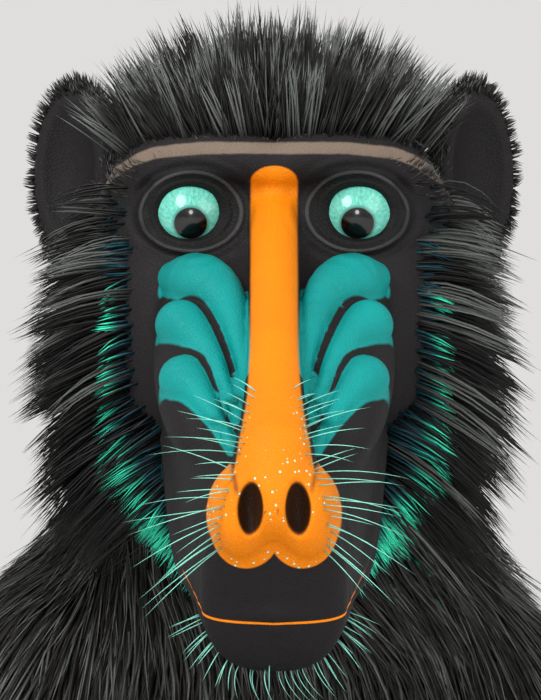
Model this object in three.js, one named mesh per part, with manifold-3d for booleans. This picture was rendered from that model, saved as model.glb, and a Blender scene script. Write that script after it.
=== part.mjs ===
// An adult male mandrill sitting upright, at life size, as a still model.
// Millimetres, +Z up. The body faces -Y, its left side is +X, and the head is turned to its right.
import * as THREE from "three";
import { mergeVertices } from "three/addons/utils/BufferGeometryUtils.js";
import Module from "manifold-3d";

const wasm = await Module();
wasm.setup();

// Driving dimensions
const GAP = 0.3; // left between solids that meet
const EYES = { forward: 112, height: 600 }; // the point midway between the eyeballs
const EYE_SPACING = 56;
const EYEBALL = { radius: 13.5, forward: -1.5 };
const HEAD_TURN = THREE.MathUtils.degToRad(25); // to its right
const HEAD_PITCH = THREE.MathUtils.degToRad(2); // the gaze is lowered
const MUZZLE_SLOPE = THREE.MathUtils.degToRad(42); // below the gaze
const NASION = { forward: 11, up: 1 }; // where the muzzle's top line leaves the brow
const MOUTH_LEVEL = -62; // the closed mouth, below the muzzle's top line

// Where the head's turn begins and is complete, along the neck from its base
const NECK_BASE = { y: -8, z: 470 };
const NECK_LEAN = THREE.MathUtils.degToRad(30); // forward of upright
const TURN_FROM = 0;
const TURN_TO = 52;

// Coats: how far the core of the coat stands above the skin, and the locks' tips above the core
const CORE = 12;
const BODY_RISE = 14;
const NECK_RISE = 18;

// Locks: half their greatest width, their length and half their thickness
const CREST_LOCK = { half: 8.5, length: 34, thick: 1.8 };
const RUFF_LOCK = { half: 11.5, length: 46, thick: 1.8 };
const BEARD_LOCK = { half: 10, length: 32, thick: 1.8 };
const MANTLE_LOCK = { half: 21, length: 86, thick: 2.4 };
const BODY_LOCK = { half: 29, length: 120, thick: 2.6 };
const ARM_LOCK = { half: 20, length: 84, thick: 2 };

const LOOK = {
  coat: { color: 0x1b1a1a, roughness: 0.85, metalness: 0 },
  skin: { color: 0x232021, roughness: 0.6, metalness: 0 },
  iris: { color: 0x5fc9b4, roughness: 0.1, metalness: 0 },
  pad: { color: 0x9a6f7c, roughness: 0.55, metalness: 0 },
};

const at = (x, y, z) => new THREE.Vector3(x, y, z);
const mix = THREE.MathUtils.lerp;
const radians = THREE.MathUtils.degToRad;

// Points of the body, and of the head's two frames: along the gaze, and along the muzzle
const bodyPoint = at;

function headPoint(x, forward, up) {
  const [s, c] = [Math.sin(HEAD_PITCH), Math.cos(HEAD_PITCH)];
  return at(x, -EYES.forward - forward * c - up * s, EYES.height - forward * s + up * c);
}

function muzzlePoint(x, along, above) {
  const [s, c] = [Math.sin(MUZZLE_SLOPE), Math.cos(MUZZLE_SLOPE)];
  return headPoint(x, NASION.forward + along * c + above * s, NASION.up - along * s + above * c);
}

// A direction in one of those frames
const way = (place, ...v) => place(...v).sub(place(0, 0, 0));

// The head's turn: a point goes round the upright axis by a share that grows along the neck
function turned(p) {
  const along = -(p.y - NECK_BASE.y) * Math.sin(NECK_LEAN) + (p.z - NECK_BASE.z) * Math.cos(NECK_LEAN);
  const share = THREE.MathUtils.smoothstep(along, TURN_FROM, TURN_TO);
  return p.applyAxisAngle(at(0, 0, 1), -HEAD_TURN * share);
}
const turnedWithHead = (p) => p.applyAxisAngle(at(0, 0, 1), -HEAD_TURN);
const unmoved = (p) => p;

// Seeded draws, so that locks vary alike on every build
function draws(seed) {
  let state = seed;
  return (low, high) => {
    state = (Math.imul(state, 1664525) + 1013904223) >>> 0;
    return mix(low, high, state / 4294967296);
  };
}

// Solids from closed geometries, and back
function solidOf(geometry, move = turned) {
  const plain = geometry.clone();
  plain.deleteAttribute("normal");
  plain.deleteAttribute("uv");
  const p = plain.attributes.position;
  for (let i = 0; i < p.count; i++) {
    const moved = move(at(p.getX(i), p.getY(i), p.getZ(i)));
    p.setXYZ(i, moved.x, moved.y, moved.z);
  }
  const merged = mergeVertices(plain, 1e-3);
  const triVerts = new Uint32Array(merged.index.array);
  const vertProperties = new Float32Array(merged.attributes.position.array);
  const made = new wasm.Manifold(new wasm.Mesh({ numProp: 3, vertProperties, triVerts }));
  if (made.volume() > 0) return made;
  for (let i = 0; i < triVerts.length; i += 3) {
    [triVerts[i + 1], triVerts[i + 2]] = [triVerts[i + 2], triVerts[i + 1]];
  }
  return new wasm.Manifold(new wasm.Mesh({ numProp: 3, vertProperties, triVerts }));
}

const joined = (solids) => wasm.Manifold.union(solids);

function largest(solid) {
  return solid.decompose().reduce((a, b) => (a.volume() > b.volume() ? a : b));
}

function geometryOf(solid) {
  const mesh = solid.getMesh();
  const geometry = new THREE.BufferGeometry();
  const positions = new Float32Array(mesh.vertProperties);
  geometry.setAttribute("position", new THREE.BufferAttribute(positions, 3));
  geometry.setIndex(new THREE.BufferAttribute(new Uint32Array(mesh.triVerts), 1));
  return geometry;
}

// A closed skin over rings of points, with a middle point at each end
function skinOver(rings, first, last) {
  const around = rings[0].length;
  const points = [...rings.flat(), first, last];
  const [start, end] = [points.length - 2, points.length - 1];
  const faces = [];
  for (let j = 0; j < around; j++) {
    const k = (j + 1) % around;
    for (let i = 0; i + 1 < rings.length; i++) {
      const [a, b] = [i * around, (i + 1) * around];
      faces.push(a + j, a + k, b + k, a + j, b + k, b + j);
    }
    const top = (rings.length - 1) * around;
    faces.push(start, k, j, end, top + j, top + k);
  }
  const geometry = new THREE.BufferGeometry().setFromPoints(points);
  geometry.setIndex(faces);
  return geometry;
}

// An oval tube along a smooth curve. Each section has its middle and its half sizes across and up.
class Tube {
  constructor(sections, { roundness = 2, dome = [0, 0], domeSteps = 3, side = at(1, 0, 0) } = {}) {
    this.side = side; // the way that the sections' width runs, as far as the curve allows
    this.curve = new THREE.CatmullRomCurve3(sections.map((s) => s.mid));
    this.halves = new THREE.CatmullRomCurve3(sections.map((s) => at(s.half[0], s.half[1], 0)));
    this.roundness = roundness;
    this.dome = dome;
    this.domeSteps = domeSteps;
  }

  frame(t) {
    const along = this.curve.getTangent(t);
    const across = this.side.clone().addScaledVector(along, -along.dot(this.side)).normalize();
    return { mid: this.curve.getPoint(t), along, across, up: along.clone().cross(across) };
  }

  // The point of the surface at a share of the length and an angle, raised by some lift
  on(t, degrees, lift = 0, shrink = 1) {
    const f = this.frame(t);
    const half = this.halves.getPoint(t);
    const angle = radians(degrees);
    const shaped = (v) => Math.sign(v) * Math.abs(v) ** (2 / this.roundness);
    return f.mid
      .addScaledVector(f.across, (half.x + lift) * shaped(Math.cos(angle)) * shrink)
      .addScaledVector(f.up, (half.y + lift) * shaped(Math.sin(angle)) * shrink);
  }

  // The share reached by going some way along the curve from another share
  step(t, distance) {
    const speed = this.curve.getPoint(t + 0.002).distanceTo(this.curve.getPoint(t - 0.002)) / 0.004;
    return THREE.MathUtils.clamp(t + distance / speed, 0.01, 0.99);
  }

  // Whether a point lies inside, within some margin, by the nearest of a few sections
  holds(point, margin) {
    for (let i = 0; i <= 12; i++) {
      const half = this.halves.getPoint(i / 12);
      if (this.curve.getPoint(i / 12).distanceTo(point) < Math.min(half.x, half.y) + margin) return true;
    }
    return false;
  }

  ring(t, around, lift, shrink, shift = 0) {
    const push = this.frame(t).along.multiplyScalar(shift);
    return Array.from({ length: around }, (_, j) =>
      this.on(t, (360 * j) / around, lift, shrink).add(push),
    );
  }

  solid(around, along, lift = 0) {
    const rings = [];
    const [head, tail] = this.dome;
    const steps = this.domeSteps;
    for (let i = 1; head && i < steps; i++) {
      const a = (i / steps) * (Math.PI / 2);
      rings.push(this.ring(0, around, lift, Math.sin(a), -(head + lift) * Math.cos(a)));
    }
    for (let i = 0; i <= along; i++) {
      const shift = (i === 0 ? -1 : i === along ? 1 : 0) * lift;
      rings.push(this.ring(i / along, around, lift, 1, shift));
    }
    for (let i = steps - 1; tail && i > 0; i--) {
      const a = (i / steps) * (Math.PI / 2);
      rings.push(this.ring(1, around, lift, Math.sin(a), (tail + lift) * Math.cos(a)));
    }
    const [start, end] = [this.frame(0), this.frame(1)];
    return solidOf(
      skinOver(
        rings,
        start.mid.addScaledVector(start.along, -head - lift),
        end.mid.addScaledVector(end.along, tail + lift),
      ),
    );
  }
}

// A limb's tube, with its stops given for the left side
const tubeOf = (side, stops, options) =>
  new Tube(
    stops.map(([p, half]) => ({ mid: at(side * p[0], p[1], p[2]), half })),
    options,
  );

// An oval ball about a middle in one of the three frames
function ball(place, mid, radii, grow = 0, around = 12, down = 8) {
  const sphere = new THREE.SphereGeometry(1, around, down);
  const p = sphere.attributes.position;
  for (let i = 0; i < p.count; i++) {
    const shape = [p.getX(i), p.getZ(i), p.getY(i)].map((v, k) => mid[k] + v * (radii[k] + grow));
    const moved = place(...shape);
    p.setXYZ(i, moved.x, moved.y, moved.z);
  }
  return solidOf(sphere);
}

// A round rod through points in one of the frames, each with its own radius, and with round ends
function rod(place, stops, grow = 0, { around = 6, along = stops.length, side = [1, 0, 0] } = {}) {
  const sections = stops.map(([x, y, z, r]) => ({ mid: place(x, y, z), half: [r, r] }));
  const dome = [stops[0][3] * 0.9, stops.at(-1)[3] * 0.9];
  const options = { dome, domeSteps: 2, side: way(place, ...side) };
  return new Tube(sections, options).solid(around, along, grow);
}

// A flat lock of hair. Stops run from the root, each with a point, the way its face looks, half its
// width and half its thickness, and the last stop is the tip. Its long edges hang by the droop.
function lock(stops, droop, grow = 0) {
  const body = stops.slice(0, -1);
  const widest = Math.max(...body.map((s) => s.half));
  const tip = stops.at(-1).point;
  const rings = body.map(({ point, face, half, thick }, i) => {
    const along = stops[i + 1].point.clone().sub(stops[Math.max(i - 1, 0)].point).normalize();
    const out = face.clone().addScaledVector(along, -face.dot(along)).normalize();
    const across = along.clone().cross(out);
    const off = (sideways, outward) =>
      point.clone().addScaledVector(across, sideways).addScaledVector(out, outward);
    const edge = droop * (half / widest) ** 2;
    const under = Math.max(thick, edge + 0.6);
    return [off(-half - grow, -edge), off(0, thick + grow), off(half + grow, -edge), off(0, -under - grow)];
  });
  const forward = tip.clone().sub(body.at(-1).point).normalize();
  const points = [...rings.flat(), tip.clone().addScaledVector(forward, 2 * grow)];
  const end = points.length - 1;
  const last = end - 4;
  const faces = [0, 1, 3, 1, 2, 3];
  for (let j = 0; j < 4; j++) {
    const k = (j + 1) % 4;
    for (let a = 0; a < last; a += 4) {
      const b = a + 4;
      if (j % 2 === 0) faces.push(a + j, b + k, a + k, a + j, b + j, b + k);
      else faces.push(a + j, b + j, a + k, a + k, b + j, b + k);
    }
    faces.push(last + k, last + j, end);
  }
  const geometry = new THREE.BufferGeometry().setFromPoints(points);
  geometry.setIndex(faces);
  return solidOf(geometry);
}

// How a lock's width and thickness change along it, at the stops before its tip
const TAPER = [
  { share: 0, width: 0.7, depth: 1 },
  { share: 0.36, width: 1, depth: 1 },
  { share: 0.72, width: 0.72, depth: 0.7 },
];

// A lock that springs from a root in a frame, goes one way and sags another
function freeLock(place, { root, along, face, sag }, size, grow) {
  const [reach, front, fall] = [along, face, sag].map((v) => way(place, ...v));
  reach.normalize().multiplyScalar(size.length);
  const stopAt = (share) => ({
    point: place(...root).addScaledVector(reach, share).addScaledVector(fall, share * share),
    face: front,
  });
  const stops = TAPER.map(({ share, width, depth }) => ({
    ...stopAt(share),
    half: size.half * width,
    thick: size.thick * depth,
  }));
  return lock([...stops, stopAt(1)], size.half / 9, grow);
}

// A lock laid along a tube from a share of its length, its root sunk and its tip risen
function laidLock(tube, { t, angle, drift, sink, rise, base }, size, grow) {
  const stopAt = (share) => {
    const [here, turn] = [tube.step(t, -size.length * share), angle + drift * share];
    const lift = base + mix(-sink, rise, share ** 0.7);
    const point = tube.on(here, turn, lift);
    return { point, face: tube.on(here, turn, lift + 10).sub(point) };
  };
  const stops = TAPER.map(({ share, width, depth }) => ({
    ...stopAt(share),
    half: size.half * width,
    thick: size.thick * depth,
  }));
  const round = tube.halves.getPoint(t).x + base;
  return lock([...stops, stopAt(1)], (size.half * size.half) / (2.4 * round), grow);
}

const varied = (size, draw) => ({
  half: size.half * draw(0.9, 1.1),
  length: size.length * draw(0.88, 1.12),
  thick: size.thick,
});

const bothSides = (make) => [1, -1].flatMap((side) => make(side));

// Torso and neck share one spine of sections, from the seat to inside the back of the skull
const TORSO = [
  { mid: at(0, 126, 12), half: [80, 70] },
  { mid: at(0, 126, 55), half: [98, 88] },
  { mid: at(0, 116, 135), half: [104, 96] },
  { mid: at(0, 96, 230), half: [101, 96] },
  { mid: at(0, 68, 325), half: [106, 97] },
  { mid: at(0, 38, 400), half: [104, 90] },
  { mid: at(0, 12, 455), half: [84, 76] },
  { mid: at(0, -10, 500), half: [62, 62] },
];
const NECK = [
  TORSO.at(-1),
  { mid: at(0, -34, 545), half: [56, 58] },
  { mid: at(0, -54, 582), half: [46, 48] },
];
const withCore = (sections) =>
  sections.map((s) => ({ mid: s.mid, half: [s.half[0] + CORE, s.half[1] + CORE] }));
const SPINE = new Tube([...TORSO, ...NECK.slice(1)]);
const NECK_SHARE = 7 / 9; // where the neck begins on the spine

const torso = (grow) => new Tube(withCore(TORSO)).solid(18, 11, grow);

function neck(grow) {
  const [base, ...rest] = NECK;
  const raised = { mid: base.mid.clone().add(at(0, -0.13, GAP)), half: base.half };
  return new Tube(withCore([raised, ...rest])).solid(18, 4, grow);
}

// Skull, brow, cheeks and muzzle
const CRANIUM = { mid: [0, -60, 2], radii: [55, 71, 44] };
const FACE = { mid: [0, -14, -4], radii: [55, 21, 29] };
const CHEEK = { mid: [38, -30, -37], radii: [27, 43, 49] };
const BROW = [
  [54, -22, 2, 7],
  [40, 0, 17, 9],
  [15, 11, 18, 8.5],
  [0, 12, 15, 7.5],
  [-15, 11, 18, 8.5],
  [-40, 0, 17, 9],
  [-54, -22, 2, 7],
];
const UPPER_LID = [
  [14.5, 5, -2, 2.4],
  [18.5, 8.5, 7.5, 2.8],
  [28, 9, 11, 3.2],
  [37.5, 6.5, 7.5, 2.8],
  [42, 0, -2, 2.4],
];
const LOWER_LID = [
  [14.5, 5, -3, 2.2],
  [19, 7, -10.5, 2.4],
  [28, 8, -13, 2.6],
  [37, 5.5, -10.5, 2.4],
  [42, 0, -3, 2.2],
];

// Muzzle sections: how far along, half width, and the levels of its roof and floor
const MUZZLE = [
  [-18, 42, -12, -96],
  [12, 40, -11, -97],
  [50, 37, -13, -92],
  [90, 32, -14, -90],
  [118, 28, -16, -92],
  [134, 24, -20, -87],
];
const BRIDGE = [
  [0, -8, -2, 6.5],
  [0, 20, -4, 8.5],
  [0, 60, -5, 8.5],
  [0, 95, -6, 10],
  [0, 118, -9, 13],
];

// The swelling beside the nose, and the three ridges on it
const SWELLING = { mid: [24, 52, -24], radii: [16, 50, 16] };
const RIDGES = [
  [
    [9, 86, -12, 2],
    [10.8, 66, -10, 3],
    [15.5, 43, -9.5, 7],
    [24, 29, -11, 10.5],
    [33, 19, -16, 6],
  ],
  [
    [12, 94, -14, 2],
    [16.5, 80, -12, 2.4],
    [21, 67, -11, 3.8],
    [27, 56, -11, 6.5],
    [31, 49, -12, 8.5],
  ],
  [
    [13.5, 108, -15.5, 2],
    [16.5, 100, -15, 2.2],
    [20.5, 92, -14, 3.2],
    [26, 82, -13, 5.5],
    [30, 75, -14, 8],
  ],
];
const LID_ROD = { around: 5, along: 4, side: [0, 1, 0] };
const LIP = [
  [35, 52, 3],
  [32, 86, 3.4],
  [27.5, 114, 3.6],
  [15, 133, 3.8],
  [0, 138, 4],
];

const muzzle = (grow) =>
  new Tube(
    MUZZLE.map(([along, half, roof, floor]) => ({
      mid: muzzlePoint(0, along, (roof + floor) / 2),
      half: [half, (roof - floor) / 2],
    })),
    { roundness: 2.6, dome: [0, 7], domeSteps: 2 },
  ).solid(16, 5, grow);

// A lip from corner to corner at a level beside the mouth
function lip(level, grow) {
  const left = LIP.map(([x, along, r]) => [x, along, level, r]);
  const right = left.slice(0, -1).reverse();
  const across = right.map(([x, ...rest]) => [-x, ...rest]);
  return rod(muzzlePoint, [...left, ...across], grow, { around: 5, along: 10, side: [0, 0, 1] });
}

// All that lies between two levels of the muzzle, as a block
function levels(above, below) {
  const box = new THREE.BoxGeometry(300, 400, above - below);
  const p = box.attributes.position;
  for (let i = 0; i < p.count; i++) {
    const moved = muzzlePoint(p.getX(i), p.getY(i), (above + below) / 2 + p.getZ(i));
    p.setXYZ(i, moved.x, moved.y, moved.z);
  }
  return solidOf(box, turnedWithHead);
}

function head(grow) {
  const upper = levels(120, MOUTH_LEVEL - grow);
  const nose = joined([muzzle(grow), lip(MOUTH_LEVEL + 3.4, grow)]).intersect(upper);
  const swollen = joined([
    ball(headPoint, FACE.mid, FACE.radii, grow, 12, 7),
    ball(headPoint, CRANIUM.mid, CRANIUM.radii, grow, 16, 10),
    rod(headPoint, BROW, grow, { along: 7, side: [0, 0, 1] }),
    nose,
    rod(muzzlePoint, BRIDGE, grow, { around: 8 }),
    ball(muzzlePoint, [0, 129, -17], [14, 15, 16], grow, 8, 6),
    ...bothSides((side) => [
      ball(headPoint, [side * CHEEK.mid[0], ...CHEEK.mid.slice(1)], CHEEK.radii, grow, 10, 8),
      ball(muzzlePoint, [side * SWELLING.mid[0], ...SWELLING.mid.slice(1)], SWELLING.radii, grow, 8, 7),
      ball(muzzlePoint, [side * 10.5, 129, -25], [10.5, 15, 16], grow, 8, 6),
      ...RIDGES.map((ridge) =>
        rod(muzzlePoint, ridge.map(([x, ...rest]) => [side * x, ...rest]), grow, { along: 4 }),
      ),
    ]),
  ]);
  const hollows = bothSides((side) => [
    ball(muzzlePoint, [side * 7.8, 142, -13], [4, 7.5, 10], -grow, 8, 6),
  ]);
  const lids = bothSides((side) =>
    [UPPER_LID, LOWER_LID].map((lid) =>
      rod(headPoint, lid.map(([x, ...rest]) => [side * x, ...rest]), grow, LID_ROD),
    ),
  );
  return joined([swollen.subtract(joined(hollows)), ...lids]);
}

function jaw(grow) {
  const lower = levels(MOUTH_LEVEL - GAP + grow, -200);
  return joined([muzzle(grow), lip(MOUTH_LEVEL - 4, grow)]).intersect(lower);
}

const eyeball = (side) => (grow) =>
  ball(headPoint, [(side * EYE_SPACING) / 2, EYEBALL.forward, 0], Array(3).fill(EYEBALL.radius), grow);

// Ears
const EAR = { mid: [68, -72, 18], radii: [18, 8, 33], outward: 35 };

function ear(side) {
  return (grow) => {
    const [s, c] = [Math.sin(radians(EAR.outward)), Math.cos(radians(EAR.outward))];
    const [x, forward, up] = EAR.mid;
    const place = (a, b, h) => headPoint(side * (x + a * c + b * s), forward - a * s + b * c, up + h);
    const cup = ball(place, [0, 0, 0], EAR.radii, grow, 12, 8);
    return cup.subtract(ball(place, [1, 7, 1], [13, 9, 25], -grow, 8, 6));
  };
}

// Crest, in rows across the skull from brow to nape. Each row's tilt is its place on the skull, and its
// locks go back and up in these shares.
const CREST = [
  { tilt: 40, spread: 66, count: 9, back: 0.08, up: 1 },
  { tilt: 14, spread: 42, count: 5, back: 0.4, up: 1 },
  { tilt: -16, spread: 40, count: 5, back: 0.9, up: 0.8 },
  { tilt: -34, spread: 50, count: 5, back: 0.95, up: -0.5 },
];

function crest(grow) {
  const draw = draws(11);
  return CREST.flatMap(({ tilt, spread, count, back, up }) =>
    Array.from({ length: count }, (_, i) => {
      const angle = radians(mix(-spread, spread, i / (count - 1)) + draw(-3, 3));
      const [out, front] = [Math.cos(radians(tilt)), Math.sin(radians(tilt))];
      const [mid, half] = [CRANIUM.mid, CRANIUM.radii.map((r) => r * 0.86)];
      const root = [
        mid[0] + half[0] * out * Math.sin(angle),
        mid[1] + half[1] * front,
        mid[2] + half[2] * out * Math.cos(angle),
      ];
      const along = [Math.sin(angle) * mix(0.5, 1, up), -back + draw(-0.08, 0.08), up * Math.cos(angle)];
      const shape = { root, along, face: [0, up, back], sag: [0, -7, -6 * back] };
      return freeLock(headPoint, shape, varied(CREST_LOCK, draw), grow);
    }),
  );
}

// Cheek ruff, in two layers that fan from beside the eye to below the jaw's corner
const RUFF = [
  { from: 20, to: -82, count: 7, forward: -24, back: 0.4 },
  { from: 4, to: -76, count: 6, forward: -50, back: 0.8 },
];

function ruff(grow) {
  const draw = draws(23);
  return bothSides((side) =>
    RUFF.flatMap(({ from, to, count, forward, back }) =>
      Array.from({ length: count }, (_, i) => {
        const angle = radians(mix(from, to, i / (count - 1)) + draw(-3, 3));
        const [c, s] = [Math.cos(angle), Math.sin(angle)];
        const root = [side * (36 + 16 * c), forward, -38 + 38 * s];
        const along = [side * c, -back + draw(-0.06, 0.06), s - 0.15];
        const shape = { root, along, face: [side * (0.3 + back), 1, 0.2], sag: [0, -4, -8] };
        return freeLock(headPoint, shape, varied(RUFF_LOCK, draw), grow);
      }),
    ),
  );
}

// Beard, in a row along each edge of the jaw and one lock at the chin
function beard(grow) {
  const draw = draws(31);
  const floorAt = (along) => mix(-97, -92, along / 118);
  const edges = bothSides((side) =>
    [14, 46, 78, 106].map((along) => {
      const root = [side * (17 - along / 16), along, floorAt(along) + 8];
      const shape = { root, along: [side * 0.35, 0.2, -1], face: [side, 0.4, 0], sag: [0, -4, 0] };
      return freeLock(muzzlePoint, shape, varied(BEARD_LOCK, draw), grow);
    }),
  );
  const chin = { root: [0, 122, -84], along: [0, 0.45, -1], face: [0, 1, 0.3], sag: [0, -5, 0] };
  return [...edges, freeLock(muzzlePoint, chin, BEARD_LOCK, grow)];
}

// Limbs. Elbow and hip overlap the next piece, which is cut back there.
const SHOULDER = [74, 8, 432];
const ELBOW = [118, -38, 250];
const WRIST = [66, -146, 48];
const KNEE = [188, -72, 200];
const ANKLE = [164, 0, 42];

const upperArmTube = (side) =>
  tubeOf(
    side,
    [
      [SHOULDER, [50, 56]],
      [[108, -12, 348], [46, 53]],
      [ELBOW, [37, 40]],
    ],
    { dome: [42, 0] },
  );
const upperArm = (side) => (grow) => upperArmTube(side).solid(12, 5, grow);

const forearm = (side) => (grow) =>
  tubeOf(side, [
    [[ELBOW[0] - 0.1, ELBOW[1] - 0.2, ELBOW[2] - GAP], [37, 40]],
    [[99, -80, 160], [33, 34]],
    [WRIST, [19, 16]],
  ]).solid(12, 5, grow);

const thighTube = (side) =>
  tubeOf(
    side,
    [
      [[66, 96, 92], [70, 70]],
      [[118, 24, 140], [60, 64]],
      [KNEE, [42, 42]],
    ],
    { dome: [20, 26] },
  );
const thigh = (side) => (grow) => thighTube(side).solid(14, 5, grow);

const shank = (side) => (grow) =>
  tubeOf(
    side,
    [
      [[186, -66, 180], [40, 40]],
      [[178, -40, 115], [33, 36]],
      [ANKLE, [20, 24]],
    ],
    { dome: [20, 14] },
  ).solid(12, 5, grow);

// Hands and feet, palms and soles flat on the floor
const DIGITS = [-21, -7, 8, 22];
const DIGIT_ROD = { around: 5, along: 2 };

function hand(side) {
  return (grow) => {
    const place = (x, y, z) => at(side * x, y, z);
    const palm = tubeOf(
      side,
      [
        [[66, -148, 46], [18, 15]],
        [[64, -166, 28], [24, 16]],
        [[63, -188, 13], [29, 13.6]],
        [[63, -204, 9.5], [29, 10]],
      ],
      { dome: [6, 6], domeSteps: 2 },
    ).solid(9, 4, grow);
    const fingers = DIGITS.map((offset, i) =>
      rod(
        place,
        [
          [63 + offset, -200, 10, 7.5],
          [63 + 1.1 * offset, -228, 7.5, 6.8],
          [63 + 1.15 * offset, [-250, -258, -256, -246][i], 4.8, 5.2],
        ],
        grow,
        DIGIT_ROD,
      ),
    );
    const thumb = [
      [44, -176, 16, 7.5],
      [33, -196, 8, 6.5],
      [28, -212, 4.7, 5],
    ];
    return joined([palm, ...fingers, rod(place, thumb, grow, DIGIT_ROD)]);
  };
}

function foot(side) {
  return (grow) => {
    const place = (x, y, z) => at(side * x, y, z);
    const sole = tubeOf(
      side,
      [
        [[159, 14, 20], [20, 21]],
        [[164, -14, 27], [24, 28]],
        [[170, -58, 18], [27, 19]],
        [[176, -104, 11.5], [31, 12]],
      ],
      { dome: [14, 6], domeSteps: 2 },
    ).solid(10, 5, grow);
    const toes = DIGITS.map((offset, i) =>
      rod(
        place,
        [
          [176 + offset, -102, 11, 7.8],
          [178 + 1.1 * offset, -134, 8, 7],
          [180 + 1.15 * offset, [-160, -166, -162, -150][i], 5, 5.5],
        ],
        grow,
        DIGIT_ROD,
      ),
    );
    const bigToe = [
      [152, -52, 15, 9],
      [135, -82, 8.5, 8],
      [128, -108, 5.6, 6],
    ];
    return joined([sole, ...toes, rod(place, bigToe, grow, DIGIT_ROD)]);
  };
}

const seatPad = (side) => (grow) => ball(bodyPoint, [side * 42, 172, 14], [26, 34, 16], grow, 12, 6);

const TAIL = [
  [0, 205, 66, 20],
  [0, 240, 84, 17],
  [0, 262, 124, 11],
];
const tail = (grow) => rod(bodyPoint, TAIL, grow, { around: 8 });

// Locks of the neck's mantle and of the torso, in rows round the spine. Each row is some way below the
// neck's upper end. It leaves out its locks at the throat, on the bare rump and where a limb covers them.
const ROWS = [
  { down: 30, count: 11, open: 140, bare: 0, size: MANTLE_LOCK, rise: NECK_RISE },
  { down: 78, count: 11, open: 60, bare: 0, size: MANTLE_LOCK, rise: NECK_RISE },
  { down: 140, count: 11, open: 0, bare: 0, size: BODY_LOCK, rise: NECK_RISE },
  { down: 216, count: 11, open: 0, bare: 0, size: BODY_LOCK, rise: BODY_RISE },
  { down: 298, count: 11, open: 0, bare: 0, size: BODY_LOCK, rise: BODY_RISE },
  { down: 382, count: 11, open: 0, bare: 0, size: BODY_LOCK, rise: BODY_RISE },
  { down: 462, count: 11, open: 0, bare: 80, size: BODY_LOCK, rise: BODY_RISE },
];

function shareBelow(down) {
  let t = 0.99;
  for (let gone = 0; gone < down; gone += 6) t = SPINE.step(t, -6);
  return t;
}

function spineLocks(grow, onNeck) {
  const draw = draws(47);
  const limbs = bothSides((side) => [upperArmTube(side), thighTube(side)]);
  return ROWS.flatMap(({ down, count, open, bare, size, rise }, row) => {
    const t = shareBelow(down);
    return Array.from({ length: count }, (_, i) => {
      const angle = 90 + ((i + (row % 2) / 2) * 360) / count + draw(-4, 4);
      const [drift, lock] = [draw(-5, 5), varied(size, draw)];
      const fromThroat = Math.abs(((angle + 630) % 360) - 180);
      const left = fromThroat >= open / 2 && 180 - fromThroat >= bare / 2;
      if (t > NECK_SHARE !== onNeck || !left) return null;
      const covered = [0.4, 1].some((share) => {
        const point = SPINE.on(SPINE.step(t, -lock.length * share), angle, CORE + rise);
        return limbs.some((limb) => limb.holds(point, 2));
      });
      if (covered) return null;
      const shape = { t, angle, drift, sink: 9, rise, base: CORE };
      return laidLock(SPINE, shape, lock, grow);
    }).filter(Boolean);
  });
}

// The outer side of the upper arm
const armLocks = (side) => (grow) => {
  const draw = draws(61);
  const down = tubeOf(side, [
    [ELBOW, [37, 40]],
    [[108, -12, 348], [46, 53]],
    [SHOULDER, [50, 56]],
  ]);
  return [0.95, 0.55].flatMap((t, row) =>
    [-42, 4, 50].map((turn) => {
      const angle = (side > 0 ? turn : 180 - turn) + row * 22 * side + draw(-4, 4);
      const shape = { t, angle, drift: draw(-4, 4), sink: 8, rise: 7, base: 0 };
      return laidLock(down, shape, varied(ARM_LOCK, draw), grow);
    }),
  );
};

// The floor, as a block that trims what reaches below it
function floorBlock() {
  const depth = 200;
  return solidOf(new THREE.BoxGeometry(2000, 2000, depth).translate(0, 0, -depth / 2), unmoved);
}

// Nodes: name, look, form and locks. Each form is cut back from the forms listed before it.
const pairOf = (name, look, form, locks) =>
  [
    ["left", 1],
    ["right", -1],
  ].map(([side, sign]) => ({ name: `${name}_${side}`, look, form: form(sign), locks: locks?.(sign) }));

const NODES = [
  ...pairOf("eye", LOOK.iris, eyeball),
  { name: "head", look: LOOK.skin, form: head, locks: (grow) => [...crest(grow), ...ruff(grow)] },
  { name: "jaw", look: LOOK.skin, form: jaw, locks: beard },
  ...pairOf("ear", LOOK.skin, ear),
  { name: "neck", look: LOOK.coat, form: neck, locks: (grow) => spineLocks(grow, true) },
  ...pairOf("seat_pad", LOOK.pad, seatPad),
  { name: "torso", look: LOOK.coat, form: torso, locks: (grow) => spineLocks(grow, false) },
  ...pairOf("thigh", LOOK.coat, thigh),
  ...pairOf("upper_arm", LOOK.coat, upperArm, armLocks),
  ...pairOf("shank", LOOK.coat, shank),
  ...pairOf("forearm", LOOK.coat, forearm),
  ...pairOf("foot", LOOK.skin, foot),
  ...pairOf("hand", LOOK.skin, hand),
  { name: "tail", look: LOOK.coat, form: tail },
];

function boxesMeet(a, b) {
  const [p, q] = [a.boundingBox(), b.boundingBox()];
  return [0, 1, 2].every((k) => p.min[k] < q.max[k] && q.min[k] < p.max[k]);
}

const cutBack = (solid, others) =>
  others.filter((other) => boxesMeet(solid, other)).reduce((rest, other) => rest.subtract(other), solid);

function buildMandrill() {
  const floor = floorBlock();
  const margins = NODES.map(({ form }) => form(GAP));
  const lockMargins = [];
  const mandrill = new THREE.Group();
  NODES.forEach(({ name, look, form, locks }, i) => {
    let solid = cutBack(form(0), [floor, ...margins.slice(0, i)]);
    if (locks) {
      const others = [floor, ...margins.filter((_, j) => j !== i), ...lockMargins];
      const hair = cutBack(joined(locks(0)), others);
      solid = joined([solid, hair]);
      lockMargins.push(joined(locks(GAP)));
    }
    const mesh = new THREE.Mesh(geometryOf(largest(solid)), new THREE.MeshStandardMaterial(look));
    mesh.name = name;
    mandrill.add(mesh);
  });
  const box = new THREE.Box3().setFromObject(mandrill);
  const middle = box.getCenter(at(0, 0, 0));
  mandrill.position.set(-middle.x, -middle.y, -box.min.z);
  return mandrill;
}

export default buildMandrill();
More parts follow.
